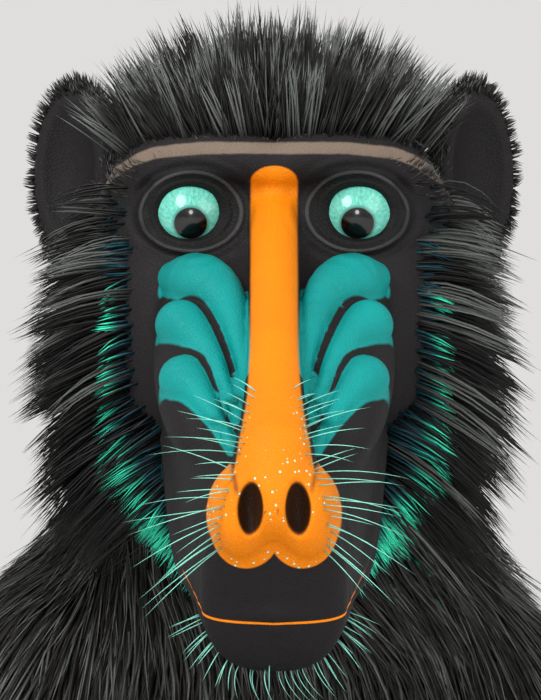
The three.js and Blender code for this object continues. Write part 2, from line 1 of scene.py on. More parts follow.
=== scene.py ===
"""A still, life-size mandrill: it sits on its seat pads, hands on the floor, head turned to its right.

The forms are built straight ahead, in millimetres, and the head's turn is given to each finished point.
"""

import functools
import math

import bmesh
import bpy
import numpy as np
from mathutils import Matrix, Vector
from mathutils.kdtree import KDTree


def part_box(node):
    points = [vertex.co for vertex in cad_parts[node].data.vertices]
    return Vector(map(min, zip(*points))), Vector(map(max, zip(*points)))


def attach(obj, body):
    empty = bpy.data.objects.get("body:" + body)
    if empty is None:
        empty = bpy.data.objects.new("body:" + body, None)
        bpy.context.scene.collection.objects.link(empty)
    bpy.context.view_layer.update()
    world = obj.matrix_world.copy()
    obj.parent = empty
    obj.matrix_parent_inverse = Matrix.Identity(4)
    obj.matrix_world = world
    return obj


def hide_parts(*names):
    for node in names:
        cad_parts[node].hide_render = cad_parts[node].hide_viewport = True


bl_info = {
    "name": "Sitting mandrill",
    "version": (1, 0, 0),
    "blender": (4, 5, 0),
    "location": "View3D > Sidebar > Mandrill",
    "description": "Skin, eyes, nails and coat of a life-size mandrill, round its measured frame",
    "category": "Add Mesh",
}

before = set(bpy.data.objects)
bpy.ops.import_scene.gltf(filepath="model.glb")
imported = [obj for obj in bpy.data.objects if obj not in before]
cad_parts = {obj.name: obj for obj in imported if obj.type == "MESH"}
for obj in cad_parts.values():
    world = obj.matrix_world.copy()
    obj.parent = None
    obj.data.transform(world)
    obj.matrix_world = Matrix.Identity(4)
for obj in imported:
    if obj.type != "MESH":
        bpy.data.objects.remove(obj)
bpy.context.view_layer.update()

MM = 0.001
MEETING = 1e-7  # points closer than this, in metres, are one point
UP = np.array([0.0, 0.0, 1.0])

# The head's frames: the point midway between the eyeballs, the gaze and the muzzle's slope
EYES = {"forward": 112.0, "height": 600.0}
EYE_SPACING = 56.0
EYEBALL = {"radius": 13.5, "forward": -1.5}
HEAD_TURN = math.radians(25)
HEAD_PITCH = math.radians(2)
MUZZLE_SLOPE = math.radians(42)
NASION = {"forward": 11.0, "up": 1.0}
MOUTH_LEVEL = -62.2
NECK_BASE = {"y": -8.0, "z": 470.0}
NECK_LEAN = math.radians(30)
SKIN_CELL = 6.0
TURN_OVER = 52.0  # the length of neck that takes up the turn
FAR = 25.0  # the most that a distance from the skin is known


# Places in the head's frames, and the head's turn


def head_point(x, forward, up):
    """The plain point that lies so far across, forward of and above the point between the eyes."""
    s, c = math.sin(HEAD_PITCH), math.cos(HEAD_PITCH)
    y = -EYES["forward"] - forward * c - up * s
    return np.stack(np.broadcast_arrays(x, y, EYES["height"] - forward * s + up * c), -1).astype(float)


def in_head(points):
    """How far each point lies across, forward of and above the point between the eyes."""
    s, c = math.sin(HEAD_PITCH), math.cos(HEAD_PITCH)
    ahead, above = -points[:, 1] - EYES["forward"], points[:, 2] - EYES["height"]
    return points[:, 0], ahead * c - above * s, ahead * s + above * c


def muzzle_point(x, along, above):
    """The plain point that lies so far across, along and above the muzzle's top line."""
    s, c = math.sin(MUZZLE_SLOPE), math.cos(MUZZLE_SLOPE)
    return head_point(x, NASION["forward"] + along * c + above * s, NASION["up"] - along * s + above * c)


def in_muzzle(points):
    """How far each point lies across, along and above the muzzle's top line."""
    s, c = math.sin(MUZZLE_SLOPE), math.cos(MUZZLE_SLOPE)
    x, forward, up = in_head(points)
    forward, up = forward - NASION["forward"], up - NASION["up"]
    return x, forward * c - up * s, forward * s + up * c


def plain_point(x, y, z):
    """A point of the body, which is given in the plain frame itself."""
    return np.array([x, y, z], float)


def smooth(values, low, high):
    """0 at low, 1 at high, and a soft step between."""
    t = np.clip((values - low) / (high - low), 0, 1)
    return t * t * (3 - 2 * t)


def turned(points, moves=None):
    """The points with the head's turn, or the moves that go with the points, turned alike."""
    along = -(points[:, 1] - NECK_BASE["y"]) * math.sin(NECK_LEAN)
    along = along + (points[:, 2] - NECK_BASE["z"]) * math.cos(NECK_LEAN)
    angle = -HEAD_TURN * smooth(along, 0, TURN_OVER)
    x, y, z = (points if moves is None else moves).T
    return np.stack([x * np.cos(angle) - y * np.sin(angle), x * np.sin(angle) + y * np.cos(angle), z], -1)


def frame_shift():
    """How far the frame's eyes lie from the plain forms' eyes, in metres."""
    made = turned(head_point(np.array([1, -1]) * EYE_SPACING / 2, EYEBALL["forward"], 0)) * MM
    found = [sum(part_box(name), start=Vector()) / 2 for name in ("eye_left", "eye_right")]
    shift = np.mean(np.array(found) - made, axis=0)
    shift[2] = 0
    return shift


SHIFT = frame_shift()


def placed(points):
    """Plain points in millimetres, at their place in the frame in metres."""
    return turned(points) * MM + SHIFT


# Forms: how far a point lies from a smooth shape


def unit(v):
    """The vectors, each made one long."""
    return v / np.maximum(np.linalg.norm(v, axis=-1, keepdims=True), 1e-9)


class Form:
    """A chain of oval sections, each a middle and its half sizes across, up and along."""

    reach = 14  # how far past its blend a form is still measured

    def __init__(self, sections, side=(1, 0, 0), power=2.0, blend=0.0, cut=False):
        self.mids = np.array([s[0] for s in sections], float)
        self.halves = np.array([s[1] for s in sections], float)
        self.side, self.power, self.blend, self.cut = np.array(side, float), power, blend, cut
        self.axes = [self.axes_of(i) for i in range(len(sections) - 1)]
        margin = self.halves.max() + blend + self.reach
        self.low, self.high = self.mids.min(0) - margin, self.mids.max(0) + margin

    def axes_of(self, i):
        along = unit(self.mids[i + 1] - self.mids[i])
        across = unit(self.side - along * (self.side @ along))
        return np.array([across, np.cross(along, across), along])

    def parts(self, points):
        """For each stretch of the chain: the offset from its line, and the half sizes there."""
        for i, (a, b) in enumerate(zip(self.mids, self.mids[1:])):
            gap = b - a
            t = np.clip((points - a) @ gap / (gap @ gap), 0, 1)[:, None]
            offset = (points - a - t * gap) @ self.axes[i].T
            yield offset, self.halves[i] + t * (self.halves[i + 1] - self.halves[i])

    def distance(self, points):
        best = np.full(len(points), FAR)
        near = self.near(points)
        if not near.any():
            return best
        found = np.full(int(near.sum()), np.inf)
        for offset, half in self.parts(points[near]):
            share = offset / half
            if self.power == 2:
                q = np.sqrt(np.einsum("ij,ij->i", share, share))
            else:
                q = (np.abs(share) ** self.power).sum(1) ** (1 / self.power)
            length = np.sqrt(np.einsum("ij,ij->i", offset, offset))
            found = np.minimum(found, length * (1 - 1 / np.maximum(q, 1e-4)))
        best[near] = found
        return best

    def along(self, points):
        """The way that the chain runs beside each point."""
        best, way = np.full(len(points), np.inf), np.zeros((len(points), 3))
        for i, (a, b) in enumerate(zip(self.mids, self.mids[1:])):
            gap = b - a
            t = np.clip((points - a) @ gap / (gap @ gap), 0, 1)[:, None]
            square = ((points - a - t * gap) ** 2).sum(1)
            nearer = square < best
            best[nearer], way[nearer] = square[nearer], unit(gap)
        return way

    def near(self, points):
        x, y, z = points[:, 0], points[:, 1], points[:, 2]
        (a, b, c), (d, e, f) = self.low, self.high
        return (x > a) & (x < d) & (y > b) & (y < e) & (z > c) & (z < f)

    def join(self, value, other):
        """The two distances joined, or the form cut away, with a soft seam."""
        sign = -1 if self.cut else 1
        a, b = sign * value, other
        k = max(self.blend, 1e-6)
        h = np.maximum(k - np.abs(a - b), 0) / k
        return sign * (np.minimum(a, b) - h * h * k / 4)


class Egg(Form):
    """One oval, whose axes are those of its frame."""

    def __init__(self, place, mid, radii, **kind):
        super().__init__([(place(*mid), radii)], **kind)
        self.turn = unit(np.array([place(*(np.array(mid) + step)) - place(*mid) for step in np.eye(3)]))

    def parts(self, points):
        yield (points - self.mids[0]) @ self.turn.T, self.halves[0]


def curve_rows(stops, steps):
    """Rows along a smooth line through the stops, with every number of a stop carried along."""
    stops = np.array(stops, float)
    ends = np.vstack([2 * stops[0] - stops[1], stops, 2 * stops[-1] - stops[-2]])
    rows = []
    for a, b, c, d in zip(ends, ends[1:], ends[2:], ends[3:]):
        for t in np.arange(steps) / steps:
            bend = (2 * a - 5 * b + 4 * c - d) * t * t + (3 * b - a - 3 * c + d) * t**3
            rows.append(0.5 * (2 * b + (c - a) * t + bend))
    return [*rows, stops[-1]]


def tube(place, stops, steps=3, dome=None, **kind):
    """A form of oval sections, each given as x, y, z and its half sizes across and up."""
    rows = curve_rows(stops, steps)
    return Form([(place(*r[:3]), [r[3], r[4], dome or (r[3] + r[4]) / 2]) for r in rows], **kind)


def rod(place, stops, steps=3, **kind):
    """A form of round sections, each given as x, y, z and its radius."""
    return Form([(place(*r[:3]), [r[3]] * 3) for r in curve_rows(stops, steps)], **kind)


# Millimetres, on the left side and in the middle. A stop is a place, then the half sizes across and up, or
# one radius. An egg is a place and three radii.
SPINE = [
    (0, 126, 12, 80, 70),
    (0, 126, 55, 98, 88),
    (0, 116, 135, 104, 96),
    (0, 96, 230, 101, 96),
    (0, 68, 325, 106, 97),
    (0, 38, 400, 104, 90),
    (0, 12, 455, 84, 76),
    (0, -10, 500, 62, 62),
    (0, -34, 545, 56, 58),
    (0, -54, 582, 46, 48),
]
ELBOW, WRIST, KNEE = (118, -38, 250), (66, -146, 48), (188, -72, 200)
UPPER_ARM = [(74, 8, 432, 43, 49), (108, -12, 348, 39, 46), (*ELBOW, 31, 34)]
FOREARM = [(*ELBOW, 31, 34), (99, -80, 160, 28, 29), (*WRIST, 17, 14.5)]
HAND = [(66, -148, 46, 18, 15), (64, -166, 28, 24, 16), (63, -188, 13, 29, 13.6), (63, -204, 9.5, 29, 10)]
THUMB = [(44, -176, 16, 7.5), (33, -196, 8, 6.5), (28, -212, 4.7, 5)]
THIGH = [(66, 96, 92, 62, 62), (118, 24, 140, 53, 57), (*KNEE, 37, 37)]
SHANK = [(186, -66, 180, 35, 35), (178, -40, 115, 28, 31), (164, 0, 42, 17, 21)]
FOOT = [(159, 14, 20, 20, 21), (164, -14, 27, 24, 28), (170, -58, 18, 27, 19), (176, -104, 11.5, 31, 12)]
BIG_TOE = [(152, -52, 15, 9), (135, -82, 8.5, 8), (128, -108, 5.6, 6)]
# Digits: how far each lies from the middle one, and how much further apart they are at each stop
DIGITS = [-21, -7, 8, 22]
SPREAD = [1, 1.1, 1.15]
FINGER = [(63, -200, 10, 7.5), (63, -228, 7.5, 6.8), (63, None, 4.8, 5.2)]
FINGERTIPS = [-250, -258, -256, -246]
TOE = [(176, -102, 11, 7.8), (178, -134, 8, 7), (180, None, 5, 5.5)]
TOETIPS = [-160, -166, -162, -150]
SEAT_PAD = ((42, 172, 14), (26, 34, 16))
TAIL = [(0, 205, 66, 16), (0, 240, 84, 12), (0, 262, 124, 7)]

CRANIUM = ((0, -60, 2), (53, 69, 42))
FACE = ((0, -14, -4), (55, 21, 29))
CHEEK = ((37, -32, -37), (25, 42, 47))
BROW = [(0, 12, 15, 7.5), (15, 11, 18, 8.5), (40, 0, 17, 9), (54, -22, 2, 7)]
UPPER_LID = [
    (14.5, 5, -2, 2.4), (18.5, 8.5, 7.5, 2.8), (28, 9, 11, 3.2),
    (37.5, 7, 7.5, 2.8), (41.8, 3.4, -2, 2.5),
]
LOWER_LID = [
    (14.5, 5, -3, 2.2), (19, 7, -10.5, 2.4), (28, 8, -13, 2.6),
    (37, 6.2, -10.5, 2.4), (41.8, 3.4, -3, 2.3),
]
MUZZLE = [
    (-18, 42, -12, -96),  # along, half the width, roof and floor
    (12, 40, -11, -97),
    (50, 37, -13, -92),
    (90, 32, -14, -90),
    (118, 28, -16, -92),
    (134, 24, -20, -87),
]
MUZZLE_DOME = 7.0
BRIDGE = [(0, -8, -2, 6.5), (0, 20, -4, 8.5), (0, 60, -5, 8.5), (0, 95, -6, 10), (0, 118, -9, 13)]
SWELLING = ((24, 52, -24), (16, 50, 16))
RIDGES = [
    [
        (9, 86, -12, 2), (10.8, 66, -10, 3), (15.5, 43, -9.5, 7),
        (24, 29, -11, 10.5), (33, 19, -16, 6),
    ],
    [
        (12, 94, -14, 2), (16.5, 80, -12, 2.4), (21, 67, -11, 3.8),
        (27, 56, -11, 6.5), (31, 49, -12, 8.5),
    ],
    [
        (13.5, 108, -15.5, 2), (16.5, 100, -15, 2.2), (20.5, 92, -14, 3.2),
        (26, 82, -13, 5.5), (30, 75, -14, 8),
    ],
]
NOSE = [((0, 129, -17), (14, 15, 16)), ((10.5, 129, -25), (10.5, 15, 16))]
NOSTRIL = ((7.8, 142, -13), (4.0, 7.5, 10.0))
LIP = [(35, 52, 3), (32, 86, 3.4), (27.5, 114, 3.6), (15, 133, 3.8), (0, 138, 4)]  # across, along, radius
LIP_OFF = 3.2  # how far each lip lies from the mouth's line
ORBIT = ((28.5, -4.4, -0.5), (18.5, 11, 17.5))
EAR = {"mid": (68, -72, 18), "radii": (18, 8, 33), "outward": math.radians(35)}
EAR_CUP = ((1, 12, 1), (14, 13, 27))


def ear_point(a, b, h):
    """A point of the ear: a outward along the cup, b out of its mouth, h up."""
    s, c = math.sin(EAR["outward"]), math.cos(EAR["outward"])
    x, forward, up = EAR["mid"]
    return head_point(x + a * c + b * s, forward - a * s + b * c, up + h)


def lip_at(level):
    """The stops of a lip whose middle lies at this height in the muzzle's frame."""
    return [(x, along, level, radius) for x, along, radius in LIP]


def digit(stops, offset, tip):
    """A finger or toe, whose last stop lies as far forward as its own tip."""
    rows = zip(stops, SPREAD)
    line = [(x + spread * offset, tip if y is None else y, z, radius) for (x, y, z, radius), spread in rows]
    return rod(plain_point, line, blend=2)


def build_forms():
    """The forms of the middle and the left side, in the order that they join. The right side mirrors them."""
    muzzle = [(0, m, (roof + floor) / 2, half, (roof - floor) / 2) for m, half, roof, floor in MUZZLE]
    digits = {}
    for i, offset in enumerate(DIGITS):
        digits[f"finger_{i}"] = digit(FINGER, offset, FINGERTIPS[i])
        digits[f"toe_{i}"] = digit(TOE, offset, TOETIPS[i])
    along_up = {"side": (0, 0, 1)}
    return {
        "spine": tube(plain_point, SPINE, blend=1),
        "tail": rod(plain_point, TAIL, blend=12),
        "thigh": tube(plain_point, THIGH, blend=24),
        "shank": tube(plain_point, SHANK, blend=14),
        "foot": tube(plain_point, FOOT, blend=10),
        "big_toe": rod(plain_point, BIG_TOE, blend=5),
        "upper_arm": tube(plain_point, UPPER_ARM, blend=26),
        "forearm": tube(plain_point, FOREARM, blend=12),
        "hand": tube(plain_point, HAND, blend=8),
        "thumb": rod(plain_point, THUMB, blend=5),
        **digits,
        "seat_pad": Egg(plain_point, *SEAT_PAD, blend=9),
        "cranium": Egg(head_point, *CRANIUM, blend=22),
        "cheek": Egg(head_point, *CHEEK, blend=16),
        "face": Egg(head_point, *FACE, blend=9),
        "brow": rod(head_point, BROW, blend=7, **along_up),
        "muzzle": tube(muzzle_point, muzzle, dome=MUZZLE_DOME, power=2.6, blend=12),
        "swelling": Egg(muzzle_point, *SWELLING, blend=7),
        "bridge": rod(muzzle_point, BRIDGE, blend=3),
        **{f"ridge_{i}": rod(muzzle_point, stops, steps=4, blend=1.6) for i, stops in enumerate(RIDGES)},
        "nose": Egg(muzzle_point, *NOSE[0], blend=4),
        "nose_wing": Egg(muzzle_point, *NOSE[1], blend=5),
        "upper_lip": rod(muzzle_point, lip_at(MOUTH_LEVEL + LIP_OFF), blend=3, **along_up),
        "lower_lip": rod(muzzle_point, lip_at(MOUTH_LEVEL - LIP_OFF), blend=1.2, **along_up),
        "orbit": Egg(head_point, *ORBIT, blend=4),
        "upper_lid": rod(head_point, UPPER_LID, blend=3.5, side=(0, 1, 0)),
        "lower_lid": rod(head_point, LOWER_LID, blend=3.5, side=(0, 1, 0)),
        "ear": Egg(ear_point, (0, 0, 0), EAR["radii"], blend=5),
        "ear_cup": Egg(ear_point, *EAR_CUP, blend=4, cut=True),
        "nostril": Egg(muzzle_point, *NOSTRIL, blend=2.0, cut=True),
    }


FORMS = build_forms()
# The ear's wall is thinner than the first net's cells, so the cup is cut once the net is finer
LARGE = {name: form for name, form in FORMS.items() if name != "ear_cup"}


def distance(points, forms=FORMS):
    """How far each plain point lies from the skin, below zero inside."""
    folded = np.column_stack([np.abs(points[:, 0]), points[:, 1:]])
    value = np.full(len(folded), FAR)
    for form in forms.values():
        near = form.near(folded)
        if near.any():
            value[near] = form.join(value[near], form.distance(folded[near]))
    return np.maximum(value, -folded[:, 2])


CORNERS = np.array([[1, -1, -1], [-1, -1, 1], [-1, 1, -1], [1, 1, 1]], float)


def distance_and_slope(points, forms=FORMS, step=0.25):
    """The distance at each point, and the way that it grows, from four points round it."""
    found = [distance(points + step * corner, forms) for corner in CORNERS]
    way = sum(d[:, None] * corner for d, corner in zip(found, CORNERS)) / (4 * step)
    return np.mean(found, axis=0), way


# Skin: a net over the forms, finer at the face, and pulled onto them


def net_over(cell):
    """Quads where the distance passes zero on a grid, with one vertex in each cell that it crosses."""
    low = np.min([f.low for f in FORMS.values()], axis=0)
    high = np.max([f.high for f in FORMS.values()], axis=0)
    high[0] = max(high[0], -low[0])
    ticks = [np.arange(cell / 2, high[0], cell), np.arange(low[1], high[1], cell)]
    ticks.append(np.arange(-1.5 * cell, high[2], cell))
    grid = np.stack(np.meshgrid(*ticks, indexing="ij"), -1)
    half = distance(grid.reshape(-1, 3), LARGE).reshape(grid.shape[:3])
    values = np.concatenate([half[::-1], half])
    inside = values < 0
    size = np.array(values.shape) - 1
    count = np.zeros(size, int)
    for a, b, c in np.ndindex(2, 2, 2):
        count += inside[a : a + size[0], b : b + size[1], c : c + size[2]]
    live = (count > 0) & (count < 8)
    cells = np.argwhere(live)
    index = np.full(live.shape, -1)
    index[live] = np.arange(len(cells))
    total, hits = np.zeros((len(cells), 3)), np.zeros(len(cells))
    steps = np.eye(3, dtype=int)
    for axis in range(3):
        across = [steps[(axis + 1) % 3], steps[(axis + 2) % 3]]
        for a, b in np.ndindex(2, 2):
            start = cells + a * across[0] + b * across[1]
            here, there = values[tuple(start.T)], values[tuple((start + steps[axis]).T)]
            crossed = (here < 0) != (there < 0)
            share = np.where(crossed, here / np.where(crossed, here - there, 1), 0)
            total[crossed] += (start + share[:, None] * steps[axis])[crossed]
            hits += crossed
    origin = np.array([-ticks[0][-1], ticks[1][0], ticks[2][0]])
    points = origin + cell * total / hits[:, None]
    faces = []
    for axis in range(3):
        u, v = steps[(axis + 1) % 3], steps[(axis + 2) % 3]
        first = inside[tuple(slice(1 - s, n) for s, n in zip(steps[axis], size))]
        second = inside[tuple(slice(1, n + s) for s, n in zip(steps[axis], size))]
        edges = np.argwhere(first != second) + u + v
        quads = np.stack([index[tuple((edges - a).T)] for a in (u + v, v, 0 * u, u)], -1)
        flip = ~first[tuple((edges - u - v).T)]
        quads[flip] = quads[flip][:, ::-1]
        faces.append(quads)
    return points, np.concatenate(faces)


# How long the skin's edges may be: on the body, the digits, the face and ears, and at the eyes, nose and lips
BODY_EDGE, DIGIT_EDGE, FACE_EDGE, EYE_EDGE = 6.0, 3.0, 1.6, 0.9


def fineness(points):
    """How long the skin's edges may be beside each point."""
    x, forward, up = in_head(points)
    _, along, above = in_muzzle(points)
    x = np.abs(x)
    wanted = np.full(len(points), BODY_EDGE)
    hand = (points[:, 2] < 42) & (points[:, 1] < -100)
    foot = (points[:, 2] < 40) & (points[:, 1] < 0) & (x > 115)
    wanted[hand | foot] = DIGIT_EDGE
    ear = (x > 54) & (forward > -100) & (forward < -48) & (up > -28) & (up < 50)
    face = (forward > -22) & (up > -60) & (up < 32) & (x < 62)
    muzzle = (along > 0) & (above > -104) & (x < 50) & (forward > 0)
    wanted[ear | face | muzzle] = FACE_EDGE
    eye = np.hypot((x - EYE_SPACING / 2) / 17, up / 15) < 1
    nose = (along > 122) & (above > -44)
    lips = (along > 96) & (np.abs(above - MOUTH_LEVEL) < 5)
    wanted[(eye & (forward > -12)) | nose | lips] = EYE_EDGE
    return wanted


def relax(mesh, times, active, forms):
    """Slides some of the mesh's vertices halfway to the middle of their neighbours, along the skin."""
    pairs = read(mesh.edges, "vertices", 2, int)
    for _ in range(times):
        points, normal = read(mesh.vertices, "co", 3), read(mesh.vertices, "normal", 3)
        degree = np.bincount(pairs.ravel(), minlength=len(points))[:, None]
        total = np.zeros_like(points)
        for k in range(3):
            total[:, k] += np.bincount(pairs[:, 0], points[pairs[:, 1], k], len(points))
            total[:, k] += np.bincount(pairs[:, 1], points[pairs[:, 0], k], len(points))
        move = total / degree - points
        move = 0.5 * (move - normal * (move * normal).sum(1, keepdims=True))
        points[active] = pulled(points[active] + move[active], 1, forms)
        write(mesh.vertices, "co", points)
        mesh.update()


LONGEST_PULL = 2.5  # a point moves no further in one step


def pulled(points, times, forms=FORMS):
    """The points moved onto the skin."""
    for _ in range(times):
        gap, way = distance_and_slope(points, forms)
        gap = gap / np.maximum((way**2).sum(1), 0.05)
        points = points - way * np.clip(gap, -LONGEST_PULL, LONGEST_PULL)[:, None]
    return points


def read(items, name, width, kind=float):
    """One value of every vertex, edge or triangle, as rows."""
    values = np.zeros(len(items) * width, np.float32 if kind is float else np.int32)
    items.foreach_get(name, values)
    return values.reshape(-1, width).astype(kind)


def write(items, name, values):
    """Gives every vertex its row of values."""
    items.foreach_set(name, np.ascontiguousarray(values, np.float32).ravel())


# Edges are split, and points relaxed, where the wanted length is under this share of the cell
SPLIT_BELOW, RELAX_BELOW = 0.75, 2.2


def refine(mesh, cell):
    """Splits the edges that are longer than the skin wants them."""
    points, pairs = read(mesh.vertices, "co", 3), read(mesh.edges, "vertices", 2, int)
    wanted = fineness(points[pairs].mean(1))
    chosen = np.flatnonzero(wanted < cell * SPLIT_BELOW)
    work = bmesh.new()
    work.from_mesh(mesh)
    work.edges.ensure_lookup_table()
    bmesh.ops.subdivide_edges(work, edges=[work.edges[i] for i in chosen], cuts=1, use_grid_fill=True)
    work.to_mesh(mesh)
    work.free()


@functools.lru_cache(maxsize=1)
def plain_skin(cell):
    """The whole skin's mesh, straight ahead and in millimetres."""
    points, quads = net_over(cell)
    mesh = bpy.data.meshes.new("plain skin")
    mesh.from_pydata(pulled(points, 2, LARGE).tolist(), [], quads.tolist())
    mesh.update()
    relax(mesh, 2, np.arange(len(points)), LARGE)
    while cell > 1:
        refine(mesh, cell)
        cell /= 2
        points = read(mesh.vertices, "co", 3)
        active = np.flatnonzero(fineness(points) < cell * RELAX_BELOW)
        if 1 < cell < 2:  # the ear's cup is cut now
            points[active] = pulled(points[active], 6)
            write(mesh.vertices, "co", points)
            mesh.update()
        relax(mesh, 2, active, FORMS if cell < 2 else LARGE)
    points = read(mesh.vertices, "co", 3)
    points = pulled(points, 2)
    points[:, 2] = np.maximum(points[:, 2], 0)
    write(mesh.vertices, "co", points)
    mesh.update()
    return mesh


def new_object(name, mesh, material, body="root", stands_for=()):
    """Links a finished mesh at the origin and says what it rides on and stands for."""
    made = bpy.data.objects.new(name, mesh)
    mesh.materials.clear()
    mesh.materials.append(material)
    bpy.context.scene.collection.objects.link(made)
    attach(made, body)
    if stands_for:
        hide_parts(*stands_for)
    return made


VALUE_FIELDS = {"FLOAT": "value", "FLOAT_VECTOR": "vector", "FLOAT_COLOR": "color"}


def add_values(mesh, name, values, kind="FLOAT"):
    """Keeps a number, a vector or a colour at each vertex, for materials and Geometry Nodes."""
    if kind == "FLOAT_COLOR":
        values = np.column_stack([values, np.ones(len(values))])
    attribute = mesh.attributes.new(name, kind, "POINT")
    attribute.data.foreach_set(VALUE_FIELDS[kind], np.ascontiguousarray(values, np.float32).ravel())


# Markings, and the places of painted shade and highlight, in millimetres inside each one's border

# Values against the place along the muzzle, or across the brow
STRIPE_HALF = [-12, 0, 76, 91, 99, 106, 114, 121, 130], [7.9, 7.9, 7.9, 8.4, 8.8, 9.5, 10.4, 11.6, 13.5]
GROOVE_WIDTH = [62, 92], [2.6, 0.9]
JAW_EDGE = [10, 60, 100, 125], [-46, -64, -84, -125]
BAND_LEVEL = [0, 25, 33, 40, 43.5, 47, 54.5, 60], [20.8, 20.8, 20.1, 19.4, 18.3, 17, 12.6, 7]
BAND_HALF = 2.0
STRIPE_TOP, NOSE_START, RIDGE_END = 9.5, 131, 111
SEEN_FROM_BELOW = 0.052


def flat_inside(stops, x, along):
    """How far each point lies inside a ridge, seen from above the muzzle."""
    best = np.full(len(x), -FAR)
    for a, b in zip(stops, stops[1:]):
        gap = np.array([b[0] - a[0], b[1] - a[1]])
        t = np.clip(((x - a[0]) * gap[0] + (along - a[1]) * gap[1]) / (gap @ gap), 0, 1)
        reach = np.hypot(x - a[0] - t * gap[0], along - a[1] - t * gap[1])
        best = np.maximum(best, a[3] + t * (b[3] - a[3]) - reach)
    return best


def seen_up(forward, up):
    """The height at which a point shows from the front, a little from below."""
    return up + SEEN_FROM_BELOW * forward


def over_brow(x, forward, up):
    """How far a point shows above the middle of the pale band."""
    return seen_up(forward, up) - np.interp(x, *BAND_LEVEL)


def stripe_inside(folded, x, along, above, forward, up):
    """The orange bridge, round at its top, and the nose that it widens into."""
    round_top = 1.5 * np.maximum(seen_up(forward, up) - STRIPE_TOP, 0)
    stripe = np.interp(along, *STRIPE_HALF) - np.hypot(x, round_top)
    stripe = np.min([stripe, above + 30, NOSE_START - along, forward + 10], axis=0)
    nose = 1.2 - np.minimum(FORMS["nose"].distance(folded), FORMS["nose_wing"].distance(folded))
    wing = 18 - 18 * np.hypot((x - 9.5) / 11.5, (above + 26) / 14) + np.minimum(along - NOSE_START - 1, 0)
    return np.max([stripe, nose, wing], axis=0)


def ridges_inside(folded, x, along, above):
    """The teal ridges, with the grooves between them left dark."""
    flat = np.max([flat_inside(stops, x, along) for stops in RIDGES], axis=0)
    far = np.sort([FORMS[f"ridge_{i}"].distance(folded) for i in range(len(RIDGES))], axis=0)
    groove = far[1] - far[0] - np.interp(along, *GROOVE_WIDTH)
    ridges = np.maximum(np.minimum(flat, above + 24), 1.1 - far[0])
    return np.min([ridges, groove, RIDGE_END - along], axis=0)


def bare_inside(folded, x, along, above, forward, up):
    """Skin without fur: the muzzle down to the jaw's edge, and round the eyes."""
    beside = np.minimum(20 - FORMS["muzzle"].distance(folded), 46 - x)
    on_muzzle = np.minimum(beside, above - np.interp(along, *JAW_EDGE))
    round_eye = 27 - 27 * np.hypot((x - 14) / 33, (up + 2) / 21)
    return np.maximum(np.minimum(on_muzzle, forward + 12), np.minimum(round_eye, forward + 24))


def markings(points):
    """How far each plain point lies inside each marking, and inside the nostrils and eye sockets where shade
    is painted, below zero outside.
    """
    folded = np.column_stack([np.abs(points[:, 0]), points[:, 1:]])
    x, forward, up = in_head(folded)
    _, along, above = in_muzzle(folded)
    behind = np.interp(x, [stop[0] for stop in BROW], [stop[1] for stop in BROW])
    brow = np.min([BAND_HALF - np.abs(over_brow(x, forward, up)), forward - behind + 3, 58 - x], axis=0)
    socket = 1 - np.hypot((x - EYE_SPACING / 2) / 13, (up + 1) / 10)
    return {
        "stripe": stripe_inside(folded, x, along, above, forward, up),
        "ridge": ridges_inside(folded, x, along, above),
        # Inside the nostrils, which the skin's material paints black as painted shade
        "nostril": 0.4 - FORMS["nostril"].distance(folded),
        "brow": brow,
        "mouth": np.where(above > -95, above - MOUTH_LEVEL, -9.0),
        "ahead": along,
        # Round the eyes, where the skin's material paints shade in the socket hollows and a highlight on the
        # folds' crests
        "socket": np.where(forward > -18, socket, -5) * 10,
        "bare": bare_inside(folded, x, along, above, forward, up),
        "rump": 52 - np.linalg.norm((folded - [18, 196, 40]) * [1, 1, 0.85], axis=1),
        "pad": 2 - FORMS["seat_pad"].distance(folded),
        "aside": folded[:, 0],
    }


# Materials


def linear(r, g, b):
    """A colour given in steps of 0 to 255, as light."""
    parts = [v / 255 for v in (r, g, b)]
    return tuple(v / 12.92 if v <= 0.04045 else ((v + 0.055) / 1.055) ** 2.4 for v in parts)


def toned(colour, share):
    """The colour, so much darker or lighter."""
    return tuple(share * v for v in colour)


class Value:
    """One socket. An expression on values adds its Math nodes."""

    def __init__(self, tree, socket):
        self.tree, self.socket = tree, socket

    def math(self, operation, *others):
        node = self.tree.nodes.new("ShaderNodeMath")
        node.operation = operation
        for slot, value in zip(node.inputs, (self, *others)):
            plug(self.tree, slot, value)
        return Value(self.tree, node.outputs[0])

    def __add__(self, other):
        return self.math("ADD", other)

    def __sub__(self, other):
        return self.math("SUBTRACT", other)

    def __rsub__(self, other):
        return (self * -1) + other

    def __mul__(self, other):
        return self.math("MULTIPLY", other)

    __radd__, __rmul__ = __add__, __mul__

    def step(self, low, high):
        """0 at low, 1 at high, and a soft step between."""
        node = self.tree.nodes.new("ShaderNodeMapRange")
        node.interpolation_type = "SMOOTHSTEP"
        for slot, value in zip(node.inputs, (self, low, high, 0.0, 1.0)):
            plug(self.tree, slot, value)
        return Value(self.tree, node.outputs[0])


def plug(tree, slot, value):
    """Gives a socket a link or a plain value."""
    if isinstance(value, Value):
        tree.links.new(value.socket, slot)
    elif hasattr(slot.default_value, "__len__") and len(slot.default_value) == 4:
        slot.default_value = (*tuple(value)[:3], 1.0)
    else:
        slot.default_value = value


